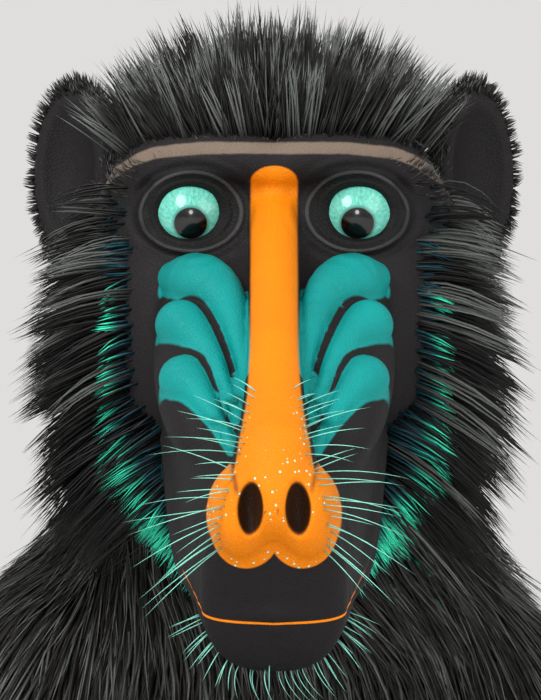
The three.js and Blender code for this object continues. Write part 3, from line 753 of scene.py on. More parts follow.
class Nodes:
    """Adds nodes to one tree. Settings come before sockets, because they choose which sockets show."""

    def __init__(self, tree):
        self.tree = tree

    def add(self, kind, settings=None, **sockets):
        node = self.tree.nodes.new(kind)
        for name, value in (settings or {}).items():
            setattr(node, name, value)
        self.give(node, **sockets)
        return node

    def shown(self, slots, name):
        return next(s for s in slots if s.enabled and s.name.lower() == name.lower())

    def out(self, node, name=None):
        shown = [s for s in node.outputs if s.enabled]
        return Value(self.tree, shown[0] if name is None else self.shown(node.outputs, name))

    def attribute(self, name, output="Fac"):
        return self.out(self.add("ShaderNodeAttribute", {"attribute_name": name}), output)

    def noise(self, scale, detail=3.0, stretch=(1, 1, 1)):
        """Noise on the object's own coordinates, so many to the metre."""
        where = self.out(self.add("ShaderNodeTexCoord"), "Object")
        if stretch != (1, 1, 1):
            where = self.out(self.add("ShaderNodeMapping", Vector=where, Scale=stretch))
        made = self.add("ShaderNodeTexNoise", Vector=where, Scale=scale, Detail=detail, Roughness=0.55)
        return self.out(made, "Fac")

    def cells(self, scale, feature="F1"):
        where = self.out(self.add("ShaderNodeTexCoord"), "Object")
        made = self.add("ShaderNodeTexVoronoi", {"feature": feature}, Vector=where, Scale=scale)
        return self.out(made, "Distance")

    def mix(self, share, a, b):
        settings = {"data_type": "RGBA", "clamp_factor": True}
        return self.out(self.add("ShaderNodeMix", settings, Factor=share, A=a, B=b), "Result")

    def bump(self, height, strength, distance):
        return self.out(self.add("ShaderNodeBump", Height=height, Strength=strength, Distance=distance))

    def give(self, node, **sockets):
        """Gives a node's sockets their links or plain values."""
        for name, value in sockets.items():
            plug(self.tree, self.shown(node.inputs, name.replace("_", " ")), value)


def new_material(name, **plain):
    """A material with one surface shader, and its node maker."""
    material = bpy.data.materials.new(name)
    material.use_nodes = True
    nodes = Nodes(material.node_tree)
    shader = material.node_tree.nodes["Principled BSDF"]
    nodes.give(shader, **plain)
    return material, nodes, shader


# Painted shade, near black, for the nostrils, the eye sockets and the tufts' roots; a painted highlight, pale
# grey, for the crests of the folds round the eyes
PAINTED_SHADE_BLACK, PAINTED_FOLD_HIGHLIGHT = (0.002, 0.002, 0.002), (0.07, 0.07, 0.07)


def skin_material(colours):
    """Charcoal skin with its markings, painted shade in the nostrils and the eye sockets, and painted
    highlights on the crests of the folds round the eyes. The steps across a border are in millimetres.
    """
    material, nodes, shader = new_material("skin", Specular_IOR_Level=0.16)
    stripe, ridge, brow, mouth, ahead, socket, rump, pad, aside, nostril = (
        nodes.attribute(name)
        for name in ("stripe", "ridge", "brow", "mouth", "ahead", "socket", "rump", "pad", "aside", "nostril")
    )
    broad, fine, pores = nodes.noise(38), nodes.noise(420), nodes.noise(1500, 2)
    wobble = (broad - 0.5) * 1.6 + (fine - 0.5) * 0.7
    # Bare skin, and the ridges
    charcoal = nodes.mix(broad, toned(colours.charcoal, 0.6), toned(colours.charcoal, 1.5))
    tone = nodes.mix(fine * 0.5, charcoal, toned(colours.charcoal, 2.0))
    on_ridge = (ridge + wobble * 0.25).step(-0.35, 0.55)
    tone = nodes.mix(on_ridge, tone, nodes.mix((broad - 0.35) * 2, toned(colours.teal, 0.72), colours.teal))
    # The stripe, with pale dots round the nose
    orange = nodes.mix((broad - 0.3) * 1.6, toned(colours.orange, 0.8), colours.orange)
    dots = (1 - nodes.cells(420).step(0.12, 0.2)) * (1 - stripe.step(2.5, 5)) * ahead.step(100, 114)
    on_stripe = (stripe + wobble * 0.35).step(-0.5, 0.6)
    tone = nodes.mix(on_stripe, tone, nodes.mix(dots, orange, colours.whisker))
    # The brow's band, the mouth's line, and the nostrils painted black as painted shade in their hollows
    tone = nodes.mix((brow + wobble * 0.8).step(-0.4, 0.5) * 0.9, tone, colours.taupe)
    line = 1 - mouth.math("ABSOLUTE").step(0.3, 0.7)
    tone = nodes.mix(line * ahead.step(112, 120), tone, colours.orange)
    tone = nodes.mix(nostril.step(-0.3, 0.5), tone, PAINTED_SHADE_BLACK)
    # The rump and its pads
    seat = nodes.mix((aside * 0.04 + broad - 0.5).step(0.2, 0.9), colours.tail_ring, colours.rump)
    seat = nodes.mix((pad + wobble).step(-3, 1), seat, colours.seat_pad)
    tone = nodes.mix((rump + wobble * 3).step(0, 10), tone, seat)
    # Round the eyes: painted shade in the socket hollows, and folds whose crests are paler with a painted
    # highlight
    tone = nodes.mix(socket.step(-7, -1) * 0.9, tone, toned(PAINTED_SHADE_BLACK, 1.5))
    folds = (socket * 1.5 + wobble * 0.5).math("SINE") * socket.step(-12, -3) * (1 - socket.step(-1, 0.5))
    # The folds' crests are painted paler: a painted highlight
    tone = nodes.mix(folds.step(0.55, 0.95) * 0.5, tone, PAINTED_FOLD_HIGHLIGHT)
    creases = nodes.cells(900, "DISTANCE_TO_EDGE").step(0, 0.2)
    height = creases * 0.35 + pores * 0.25 + folds * 1.6
    rough = 0.58 + (broad - 0.5) * 0.15 - on_ridge * 0.08
    nodes.give(shader, Base_Color=tone, Roughness=rough, Normal=nodes.bump(height, 0.55, 0.0006))
    return material


PUPIL_EDGE, IRIS_EDGE = 24, 84  # degrees from the middle of the eye
EYE_RIM, PUPIL_BLACK = (0.02, 0.018, 0.016), (0.0015, 0.0015, 0.0015)


def eye_material(colours):
    """A streaked iris, darker at both its edges, round a black pupil, under a wet coat."""
    material, nodes, shader = new_material(
        "eye", Roughness=0.25, Specular_IOR_Level=0.2, Coat_Weight=0.55, Coat_Roughness=0.02
    )
    ring, where = nodes.attribute("ring"), nodes.attribute("fibre", "Vector")
    streaks = nodes.out(nodes.add("ShaderNodeTexNoise", Vector=where, Scale=3.2, Detail=4.0), "Fac")
    iris = nodes.mix((streaks - 0.3) * 2.2, toned(colours.eye, 0.55), colours.eye)
    iris = nodes.mix(ring.step(IRIS_EDGE - 28, IRIS_EDGE - 6), iris, toned(colours.eye, 0.5))
    iris = nodes.mix(1 - ring.step(PUPIL_EDGE, PUPIL_EDGE + 5), iris, toned(colours.eye, 0.35))
    tone = nodes.mix(ring.step(IRIS_EDGE - 6, IRIS_EDGE), iris, EYE_RIM)
    tone = nodes.mix(1 - ring.step(PUPIL_EDGE - 1.5, PUPIL_EDGE), tone, PUPIL_BLACK)
    nodes.give(shader, Base_Color=tone)
    return material


def coat_material(name="coat"):
    """Each tuft's own colour, turning to its tip's colour, with fine streaks and painted shade towards its
    root.
    """
    material, nodes, shader = new_material(name, Specular_IOR_Level=0.22)
    along = nodes.attribute("along")
    tint, tip = nodes.attribute("tint", "Color"), nodes.attribute("tip", "Color")
    streaks = nodes.noise(900, 2)
    tone = nodes.mix(along.step(0.35, 0.95), tint, tip)
    tone = nodes.mix((streaks - 0.4) * 0.8, tone, (0, 0, 0))
    # The lower half of each tuft darkened towards black: painted shade among the hair near the skin
    tone = nodes.mix((1 - along.step(0, 0.5)) * 0.5, tone, toned(PAINTED_SHADE_BLACK, 0.5))
    nodes.give(shader, Base_Color=tone, Roughness=0.42 + streaks * 0.2)
    return material


def nail_material(colours):
    """Dark horn with streaks along it."""
    material, nodes, shader = new_material("nail", Coat_Weight=0.3)
    streaks = nodes.noise(260, 2, stretch=(1, 0.12, 1))
    tone = nodes.mix(streaks, toned(colours.nail, 0.5), colours.nail)
    relief = nodes.bump(streaks, 0.4, 0.0004)
    nodes.give(shader, Base_Color=tone, Roughness=0.28 + streaks * 0.2, Normal=relief)
    return material


# Tufts: one tree of nodes grows a tuft at each root


def tuft_tree():
    """Geometry Nodes that set a flat, tapered, bent lock on each root, as the root's own values say."""
    tree = bpy.data.node_groups.new("tufts on roots", "GeometryNodeTree")
    face = tree.interface
    face.new_socket("Geometry", in_out="INPUT", socket_type="NodeSocketGeometry")
    segments = face.new_socket("Segments", in_out="INPUT", socket_type="NodeSocketInt")
    segments.default_value = 2
    patch = face.new_socket("Bake patch", in_out="INPUT", socket_type="NodeSocketFloat")
    patch.default_value = 0.003
    face.new_socket("Material", in_out="INPUT", socket_type="NodeSocketMaterial")
    face.new_socket("Geometry", in_out="OUTPUT", socket_type="NodeSocketGeometry")
    nodes = Nodes(tree)
    given = nodes.add("NodeGroupInput")

    def value(name):
        return nodes.out(given, name)

    def named(name, kind="FLOAT_VECTOR"):
        node = nodes.add("GeometryNodeInputNamedAttribute", {"data_type": kind}, Name=name)
        return nodes.out(node, "Attribute")

    def vectors(operation, a, b):
        node = nodes.add("ShaderNodeVectorMath", {"operation": operation})
        plug(tree, node.inputs[0], a)
        plug(tree, node.inputs[3 if operation == "SCALE" else 1], b)
        return nodes.out(node)

    def store(geometry, name, kind, domain, what):
        settings = {"data_type": kind, "domain": domain}
        store_node = "GeometryNodeStoreNamedAttribute"
        return nodes.out(nodes.add(store_node, settings, Geometry=geometry, Name=name, Value=what))

    cone = nodes.add(
        "GeometryNodeMeshCone",
        {"fill_type": "NGON"},
        Vertices=3,
        Side_Segments=value("Segments"),
        Radius_Top=0.0,
        Radius_Bottom=1.0,
        Depth=1.0,
    )
    position = nodes.out(nodes.add("GeometryNodeInputPosition"))
    height = nodes.out(nodes.add("ShaderNodeSeparateXYZ", Vector=position), "Z")
    template = store(nodes.out(cone, "Mesh"), "along", "FLOAT", "POINT", height)
    template = store(template, "shape", "FLOAT_VECTOR", "POINT", position)
    fuller = nodes.out(nodes.add("ShaderNodeCombineXYZ", X=height + 1, Y=height + 1, Z=1.0))
    shape = vectors("MULTIPLY", position, fuller)
    belly = nodes.add("GeometryNodeSetPosition", Geometry=template, Position=shape)
    way = nodes.add(
        "FunctionNodeAxesToRotation",
        {"primary_axis": "Z", "secondary_axis": "Y"},
        Primary_Axis=named("aim"),
        Secondary_Axis=named("face"),
    )
    tufts = nodes.add(
        "GeometryNodeInstanceOnPoints",
        Points=value("Geometry"),
        Instance=nodes.out(belly),
        Rotation=nodes.out(way),
        Scale=named("size"),
    )
    real = nodes.out(nodes.add("GeometryNodeRealizeInstances", Geometry=nodes.out(tufts)))
    along = named("along", "FLOAT")
    offset = vectors("SCALE", named("bend"), along * along)
    bent = nodes.add("GeometryNodeSetPosition", Geometry=real, Offset=offset)
    spot = vectors("ADD", named("place"), vectors("SCALE", named("shape"), value("Bake patch") * 0.5))
    mapped = store(nodes.out(bent), "OFBake", "FLOAT2", "CORNER", spot)
    soft = nodes.add("GeometryNodeSetShadeSmooth", Geometry=mapped)
    done = nodes.add("GeometryNodeSetMaterial", Geometry=nodes.out(soft), Material=value("Material"))
    end = nodes.add("NodeGroupOutput")
    tree.links.new(nodes.out(done).socket, end.inputs[0])
    return tree


ROOT_DEPTH = 0.0008  # metres that a root lies under the skin
ROOT_VECTORS, ROOT_COLOURS = ("aim", "face", "size", "bend", "place"), ("tint", "tip")


def grow_tufts(name, roots, material, tree, segments):
    """A plain mesh of tufts from the roots' places and values, given in the frame's metres."""
    mesh = bpy.data.meshes.new(name + " roots")
    mesh.from_pydata(roots["root"].tolist(), [], [])
    for key in ROOT_VECTORS:
        add_values(mesh, key, roots[key], "FLOAT_VECTOR")
    for key in ROOT_COLOURS:
        add_values(mesh, key, roots[key], "FLOAT_COLOR")
    bed = bpy.data.objects.new(name + " roots", mesh)
    bpy.context.scene.collection.objects.link(bed)
    growth = bed.modifiers.new("tufts", "NODES")
    growth.node_group = tree
    for item in tree.interface.items_tree:
        if item.name == "Segments":
            growth[item.identifier] = segments
        elif item.name == "Material":
            growth[item.identifier] = material
    evaluated = bed.evaluated_get(bpy.context.evaluated_depsgraph_get())
    made = bpy.data.meshes.new_from_object(evaluated)
    bpy.data.objects.remove(bed)
    for key in (*ROOT_VECTORS, "shape"):
        if key in made.attributes:
            made.attributes.remove(made.attributes[key])
    made.name = name
    return made


# Coat: where tufts grow, how long they are and how they lie

PARTS = {
    "head": ["cranium", "cheek", "face", "muzzle", "brow"],
    "ear": ["ear"],
    "torso": ["spine"],
    "upper_arm": ["upper_arm"],
    "forearm": ["forearm"],
    "hand": ["hand", "thumb", *(f"finger_{i}" for i in range(len(DIGITS)))],
    "thigh": ["thigh"],
    "shank": ["shank"],
    "foot": ["foot", "big_toe", *(f"toe_{i}" for i in range(len(DIGITS)))],
    "tail": ["tail"],
}
# Short fur of each part: how thickly it grows, its length, and how far it stands off the skin at its tip
FUR = {
    "head": (4.5, 15, 3.5),
    "ear": (13.0, 6, 2.0),
    "torso": (1.0, 40, 7.0),
    "upper_arm": (1.2, 32, 5.0),
    "forearm": (2.8, 20, 3.0),
    "hand": (5.0, 8, 1.2),
    "thigh": (1.4, 26, 4.0),
    "shank": (2.8, 16, 2.6),
    "foot": (5.0, 8, 1.2),
    "tail": (5.0, 15, 3.0),
}


def head_way(x, forward, up):
    """Directions across, forward and up in the head's frame, as plain directions."""
    s, c = math.sin(HEAD_PITCH), math.cos(HEAD_PITCH)
    x, forward, up = np.broadcast_arrays(x, forward, up)
    return unit(np.stack([x, -forward * c - up * s, -forward * s + up * c], -1))


# How far the hair leans back and rises, against the place behind the eyes, and falls, against the height
SKULL_BACK = [0, 35, 80, 115, 135], [0.03, 0.2, 0.8, 1.6, 2.2]
SKULL_RISE = [0, 80, 115, 135], [1, 0.8, 0.1, -0.9]
CHEEK_BACK = [-20, 0, 40, 80], [0.2, 0.4, 0.8, 1.4]
CHEEK_FALL = [-125, -90, -60, -20, 10, 30], [-1.7, -0.8, -0.35, -0.05, 0.25, 0.9]


def skull_way(x, forward, up):
    """The way of the hair on the skull: fanned upright at the brow, back and down at the nape."""
    back, rise = np.interp(-forward, *SKULL_BACK), np.interp(-forward, *SKULL_RISE)
    out = unit(np.stack([x * 0.8, up + 26], -1))
    return head_way(out[:, 0], -back, out[:, 1] * rise)


def cheek_way(x, forward, up):
    """The way of the hair on the cheek: out from the face, and lower down it hangs."""
    return head_way(1.0, -np.interp(-forward, *CHEEK_BACK), np.interp(up, *CHEEK_FALL))


def ear_way(x, forward, up):
    """The way of the hair on the ear: from its root out to its rim."""
    s, c = math.sin(EAR["outward"]), math.cos(EAR["outward"])
    out = (x - EAR["mid"][0]) * c - (forward - EAR["mid"][1]) * s + 15
    return head_way(out * c, -out * s, up - EAR["mid"][2] + 6)


JOIN_WIDTH = 9.0  # how softly the lie of one part turns into the next one's


class Spots:
    """Places on the skin, with what the coat needs to know of each."""

    def __init__(self, points, normals):
        self.points, self.normals = points, normals
        self.side = np.where(points[:, 0] < 0, -1.0, 1.0)
        self.folded = np.column_stack([np.abs(points[:, 0]), points[:, 1:]])
        self.x, self.forward, self.up = in_head(self.folded)
        self.marks = markings(points)
        self.over_brow = over_brow(self.x, self.forward, self.up)
        far = {}
        for name, forms in PARTS.items():
            far[name] = np.min([FORMS[form].distance(self.folded) for form in forms], axis=0)
        far["ear"] += 1.5 * np.maximum(far["ear"] - 1, 0)
        far = np.stack(list(far.values()), -1)
        self.label = far.argmin(1)
        self.lie = self.blended_lie(np.exp(-(far - far.min(1, keepdims=True)) / JOIN_WIDTH))

    def blended_lie(self, weight):
        """Along each limb and down the trunk, and by its own rule on the head, blended at the joins."""
        lie = np.zeros_like(self.points)
        high = smooth(self.over_brow, -14, 4)[:, None]
        back = smooth(-self.forward, 60, 95)[:, None]
        skull, cheek = (way(self.x, self.forward, self.up) for way in (skull_way, cheek_way))
        on_skull = np.maximum(high, back)
        for k, (name, forms) in enumerate(PARTS.items()):
            if name == "ear":
                way = ear_way(self.x, self.forward, self.up)
            elif name == "head":
                way = skull * on_skull + cheek * (1 - on_skull)
            else:
                way = FORMS[forms[0]].along(self.folded) * (-1 if name == "torso" else 1)
            lie += weight[:, [k]] * way
        lie[:, 0] *= self.side
        return unit(lie)

    def on(self, *names):
        """Whether each spot is on one of the named parts."""
        return np.isin(self.label, [list(PARTS).index(n) for n in names])

    def by_part(self, column):
        """The short fur's density, length or rise at each spot."""
        return np.array([row[column] for row in FUR.values()], float)[self.label]

    def mirrored(self, way):
        """A way given for the left side, on each spot's own side."""
        return way * np.stack([self.side, np.ones_like(self.side), np.ones_like(self.side)], -1)


@functools.lru_cache(maxsize=1)
def skin_triangles():
    """The skin's corners, normals and areas, triangle by triangle, and the spots in their middles."""
    mesh = plain_skin(SKIN_CELL)
    mesh.calc_loop_triangles()
    points, normal = read(mesh.vertices, "co", 3), read(mesh.vertices, "normal", 3)
    tris = read(mesh.loop_triangles, "vertices", 3, int)
    block = points[tris].mean(1) // 12  # neighbours come one after another
    tris = tris[np.lexsort((block[:, 0], block[:, 1], block[:, 2]))]
    corners = points[tris]
    area = np.linalg.norm(np.cross(corners[:, 1] - corners[:, 0], corners[:, 2] - corners[:, 0]), axis=1) / 2
    return corners, normal[tris], area, Spots(corners.mean(1), unit(normal[tris].mean(1)))


def scatter(count, weight, draw):
    """Even, seeded spots on the plain skin, by area and weight."""
    corners, normals, area, _ = skin_triangles()
    total = np.cumsum(area * weight)
    spots = (np.arange(count) + draw.random(count)) * total[-1] / count
    chosen = np.searchsorted(total, spots)
    a, b = draw.random(count), draw.random(count)
    over = a + b > 1
    a[over], b[over] = 1 - a[over], 1 - b[over]
    parts = np.stack([1 - a - b, a, b], -1)[:, :, None]
    return Spots((corners[chosen] * parts).sum(1), unit((normals[chosen] * parts).sum(1)))


def clumped(points, each, draw):
    """The middle of each tuft's clump, and four random numbers that the clump shares."""
    middles = points[draw.permutation(len(points))[: max(len(points) // each, 1)]]
    tree = KDTree(len(middles))
    for i, point in enumerate(middles):
        tree.insert(point, i)
    tree.balance()
    group = np.array([tree.find(point)[1] for point in points])
    return middles[group], draw.random((len(middles), 4))[group]


def hung(spots, way, length, off, droop, curl):
    """The start and the bend of tufts that stand off the skin and droop towards their tips."""
    out = unit(way + off * spots.normals)
    return out * length[:, None], -UP * (droop * length)[:, None] - out * (curl * length)[:, None]


def laid(spots, way, length, rise, steps=2):
    """The start and the bend of tufts that follow the skin, and whose tips stand off it by the rise."""
    here, normal, stops = spots.points, spots.normals, []
    for i in range(steps):
        flat = unit(way - normal * (way * normal).sum(1, keepdims=True))
        here = here + flat * (length / steps)[:, None]
        gap, slope = distance_and_slope(here)
        normal = unit(slope)
        here = here + normal * (rise * (i + 1) / steps - gap)[:, None]
        stops.append(here - spots.points)
    half, tip = stops[steps // 2 - 1], stops[-1]
    return 4 * half - tip, 2 * tip - 4 * half


FLATNESS = 0.45
SHORTEST, FLOOR_GAP = 0.1, 2.6


class Hair:
    """One kind of hair. The kinds below say where it grows, how long it is, and its colours.

    Each gives its tufts' count and segments, the tufts in a clump, how far a clump pulls them together, how
    much their ways sway, their width and what each millimetre of length adds to it, and a seed.
    """

    count, segments, each, pull, sway, width, seed = "short_tufts", 2, 7, 0.5, 0.12, (1.2, 0.02), 17

    def __init__(self, sizes, colours):
        self.sizes, self.colours = sizes, colours
        self.draw = np.random.default_rng(self.seed)

    def roots(self):
        """The roots' places in the plain frame, and the values that make a tuft of each."""
        weight = np.maximum(self.density(skin_triangles()[3]), 0)
        spots = scatter(getattr(self.sizes, self.count), weight, self.draw)
        n = len(spots.points)
        middle, own = clumped(spots.points, self.each, self.draw)
        length = self.length(spots) * (0.8 + 0.3 * own[:, 3]) * self.draw.uniform(0.85, 1.1, n)
        way = self.way(spots) + self.sway * (2 * own[:, :3] - 1) + self.draw.normal(0, self.sway / 3, (n, 3))
        start, bend = self.path(spots, unit(way), length)
        bend = bend + (middle - spots.points) * self.pull
        start, bend = kept_off_floor(spots.points, start, bend)
        width = self.girth(length) * self.draw.uniform(0.75, 1.25, n)
        root, tip = self.tones(spots, own, spots.points + start + bend)
        return {
            "spots": spots,
            "start": start,
            "bend": bend,
            "width": width,
            "thick": width * FLATNESS,
            "tint": root,
            "tip": tip,
        }

    def way(self, spots):
        return spots.lie

    def girth(self, length):
        return self.width[0] + self.width[1] * length

    def chance(self, spots, share):
        return (self.draw.random(len(spots.points)) < share)[:, None]

    def shaded(self, colour, low, high, count):
        return np.array(colour) * self.draw.uniform(low, high, (count, 1))

    def tones(self, spots, own, tips):
        """Black at the root, and on some clumps ticked with grey at the tip."""
        n = len(tips)
        tint = np.array(self.colours.coat) * (0.5 + own[:, [0]])
        outer = smooth(spots.x, 55, 115) * spots.on("torso", "upper_arm")
        ticked = self.chance(spots, 0.25 + 0.4 * own[:, 1] + 0.25 * outer)
        grey = self.shaded(self.colours.tick, 0.5, 1.2, n) * (1 + 0.5 * outer)[:, None]
        return tint, np.where(ticked, grey, tint)

    def strands(self, grey, pale, black):
        """Grey strands among black ones. Pale and black say how light the two are at the root."""
        n, colours = len(grey), self.colours
        tint = np.where(grey, self.shaded(colours.strand, *pale, n), self.shaded(colours.coat, *black, n))
        return tint, np.where(grey, self.shaded(colours.strand, 0.8, 1.25, n), tint)


def kept_off_floor(points, start, bend):
    """Tufts that would reach through the floor are made shorter."""
    low = np.min([start[:, 2] * t + bend[:, 2] * t * t for t in (0.35, 0.7, 1.0)], axis=0)
    share = np.clip((points[:, 2] - FLOOR_GAP) / np.maximum(-low, 1e-6), SHORTEST, 1)[:, None]
    return start * share, bend * share


class ShortFur(Hair):
    """Short fur all over, thin on the brow's pale band, none on bare skin."""

    def density(self, spots):
        y, z = spots.folded[:, 1], spots.folded[:, 2]
        furred = np.where(spots.on("head", "ear"), smooth(-spots.marks["bare"], -1, 3), 1)
        furred = furred * np.where(spots.on("head") & (np.abs(spots.over_brow) < BAND_HALF), 0.15, 1)
        furred = furred * smooth(z, 4, 12) * (1 - smooth(spots.marks["rump"], -4, 4))
        fingers, toes = (y < -212) & (z < 40), (y < -124) & (z < 30) & (spots.x > 115)
        cup = spots.on("ear") & (FORMS["ear_cup"].distance(spots.folded) < 2.5)
        temple = spots.on("head") * smooth(spots.x, 40, 46) * smooth(spots.up, -10, 2)
        return spots.by_part(0) * (1 + 1.5 * temple) * furred * ~(fingers | toes | cup)

    def length(self, spots):
        length = spots.by_part(1)
        near_face = smooth(-spots.marks["bare"], 0, 14)
        length = np.where(spots.on("head"), length * (0.35 + 0.65 * near_face), length)
        length = np.where(spots.on("head") & (spots.marks["brow"] > -2), 4.5, length)
        temple = spots.on("head") & (spots.x > 42) & (spots.up > -12)
        length = np.where(temple, np.minimum(length, 9), length)
        thinner = np.clip((spots.folded[:, 2] - 30) / 110, 0.4, 1)
        return np.where(spots.on("forearm", "shank"), length * thinner, length)

    def path(self, spots, way, length):
        rise = spots.by_part(2) * np.clip(length / spots.by_part(1), 0.3, 1)
        start, bend = laid(spots, way, length, rise)
        ear = spots.on("ear")[:, None]
        out = unit(way + 0.35 * spots.normals) * length[:, None]
        return np.where(ear, out, start), np.where(ear, -0.12 * out, bend)

    def girth(self, length):
        return np.minimum(super().girth(length), 0.35 + 0.06 * length)

    def tones(self, spots, own, tips):
        tint, tip = super().tones(spots, own, tips)
        n = len(tips)
        cheek = (spots.on("head") & (spots.over_brow < -12) & (spots.forward > -62))[:, None]
        tint = np.where(cheek, self.shaded(self.colours.cheek, 0.5, 1.3, n), tint)
        tip = np.where(cheek, tint, tip)
        brow = (spots.on("head") & (spots.marks["brow"] > -0.8))[:, None]
        tint = np.where(brow, self.shaded(self.colours.taupe, 0.6, 0.9, n), tint)
        return tint, np.where(brow, self.shaded(self.colours.taupe, 0.9, 1.2, n), tip)


class Mantle(Hair):
    """Long hair of the nape, shoulders and back."""

    count, segments, each, pull, sway, width, seed = "mantle_tufts", 3, 9, 0.62, 0.12, (1.5, 0.008), 41
    rise = 8.5

    def density(self, spots):
        z = spots.folded[:, 2]
        trunk = spots.on("torso") * (0.35 + 0.65 * smooth(z, 60, 260))
        nape = spots.on("head") * smooth(-spots.forward, 72, 92) * smooth(-spots.over_brow, -4, 12)
        shown = (1 - smooth(spots.marks["rump"], -8, 0)) * smooth(z, 4, 12)
        return (trunk + nape + spots.on("upper_arm") * smooth(z, 255, 330)) * shown

    def length(self, spots):
        z = spots.folded[:, 2]
        front = smooth(-spots.normals[:, 1], 0.1, 0.6)
        return np.where(spots.on("torso"), 52 + 26 * smooth(z, 200, 430) * (1 - 0.5 * front), 54)

    def path(self, spots, way, length):
        return laid(spots, way, length, np.full(len(length), self.rise), 4)


class Crest(Hair):
    """Upright hair that fans from the pale band over the skull."""

    count, segments, each, pull, sway, width, seed = "crest_tufts", 4, 8, 0.7, 0.16, (0.8, 0.008), 43
    rise = 9.0

    def density(self, spots):
        front = smooth(spots.over_brow, 2.2, 4)
        beside_ear = smooth(spots.x, 46, 54) * smooth(spots.forward, -92, -80)
        return spots.on("head") * front * (1 + 0.8 * smooth(spots.forward, -50, -20)) * (1 - beside_ear)

    def length(self, spots):
        return self.sizes.crest_length / MM * np.interp(-spots.forward, [0, 20, 70, 120], [0.8, 1, 1, 1.15])

    def path(self, spots, way, length):
        stand = smooth(spots.forward, -105, -75)[:, None]
        start, bend = laid(spots, way, length, np.full(len(length), self.rise))
        curl = head_way(0.0, -0.9, -0.45) * (length * 0.16)[:, None]
        return start + (way * length[:, None] - start) * stand, bend + (curl - bend) * stand

    def way(self, spots):
        return spots.mirrored(skull_way(spots.x, spots.forward, spots.up))

    def tones(self, spots, own, tips):
        return self.strands(own[:, [1]] < 0.36, (0.35, 0.6), (0.3, 1))


class Ruff(Hair):
    """Long locks that stand out from the cheeks and droop."""

    count, segments, each, pull, sway, width, seed = "ruff_tufts", 4, 14, 0.8, 0.08, (0.9, 0.008), 47

    def density(self, spots):
        cheek = smooth(spots.x, 30, 36) * smooth(-spots.marks["bare"], 0, 3) * smooth(-spots.up, -14, 4)
        high = 1 - 0.7 * smooth(spots.up, -22, 2)
        return spots.on("head") * cheek * high * smooth(spots.forward, -66, -46)

    def length(self, spots):
        longest = self.sizes.ruff_length / MM
        reach = np.interp(spots.up, [-100, -80, -40, 0, 20], [84, 89, 89, 84, 76])
        return np.clip(reach - spots.x, 0.45 * longest, longest)

    def path(self, spots, way, length):
        return hung(spots, way, length, 0.3, 0.24, 0.05)

    def way(self, spots):
        return spots.mirrored(cheek_way(spots.x, spots.forward, spots.up))

    def tones(self, spots, own, tips):
        high = smooth(spots.up, -75, 5)
        return self.strands(own[:, [1]] < (0.14 + 0.5 * high)[:, None], (0.35, 0.7), (0.2, 0.7))


class Fringe(Ruff):
    """Fur of the cheeks and jaw's corner, dark teal, and flecked at the tips along the outline."""

    count, segments, each, pull, sway, width, seed = "fringe_tufts", 3, 8, 0.55, 0.14, (1.0, 0.012), 53
    outline = [-145, -137, -116, -96, -80, -40, -23, 0], [10, 25, 42, 58, 61, 59, 58, 60]
    shares = (0.3, 0.45, 0.6, 0.75, 0.9, 1.0)  # a tuft keeps the longest share that ends past the outline

    def density(self, spots):
        cheek = smooth(spots.x, 20, 30) * smooth(-spots.up, 0, 18) * smooth(-spots.marks["bare"], -1, 3)
        front = smooth(spots.forward, -75, -50) * smooth(spots.up, -140, -124)
        return spots.on("head", "torso") * cheek * front

    def length(self, spots):
        return np.interp(-spots.up, [0, 30, 70, 100], [14, 18, 30, 36])

    def path(self, spots, way, length):
        start, bend = hung(spots, way, length, 0.22, 0.16, 0.04)
        share = np.full(len(length), self.shares[0])
        for more in self.shares[1:]:
            share[self.inside(spots.points + more * (start + bend)) > -2] = more
        return start * share[:, None], bend * share[:, None]

    def inside(self, tips):
        """How far tips lie inside the cheek's outline, as seen from the front."""
        x, _, up = in_head(tips)
        return np.interp(up, *self.outline) - np.abs(x)

    def tones(self, spots, own, tips):
        n = len(tips)
        rim = smooth(-self.inside(tips), -11, -5) * smooth(-in_head(tips)[2], 22, 34)
        flecked = self.chance(spots, 0.85 * rim)
        tint = self.shaded(self.colours.cheek, 0.5, 1.3, n)
        return tint, np.where(flecked, self.shaded(self.colours.fleck, 1.0, 1.6, n), tint * 1.3)


# Whiskers of one side: across, along and above the muzzle at the root, slope and length
WHISKERS = [
    (8.5, 98, 2, 0.7, 9),
    (12, 122, 0, 0.3, 26),
    (18, 138, -14, -0.05, 30),
    (18, 139, -34, -0.75, 27),
]
WHISKER_COUNT, BRISTLE_COUNT, WHISKER_WIDTH = 30, 42, 0.44


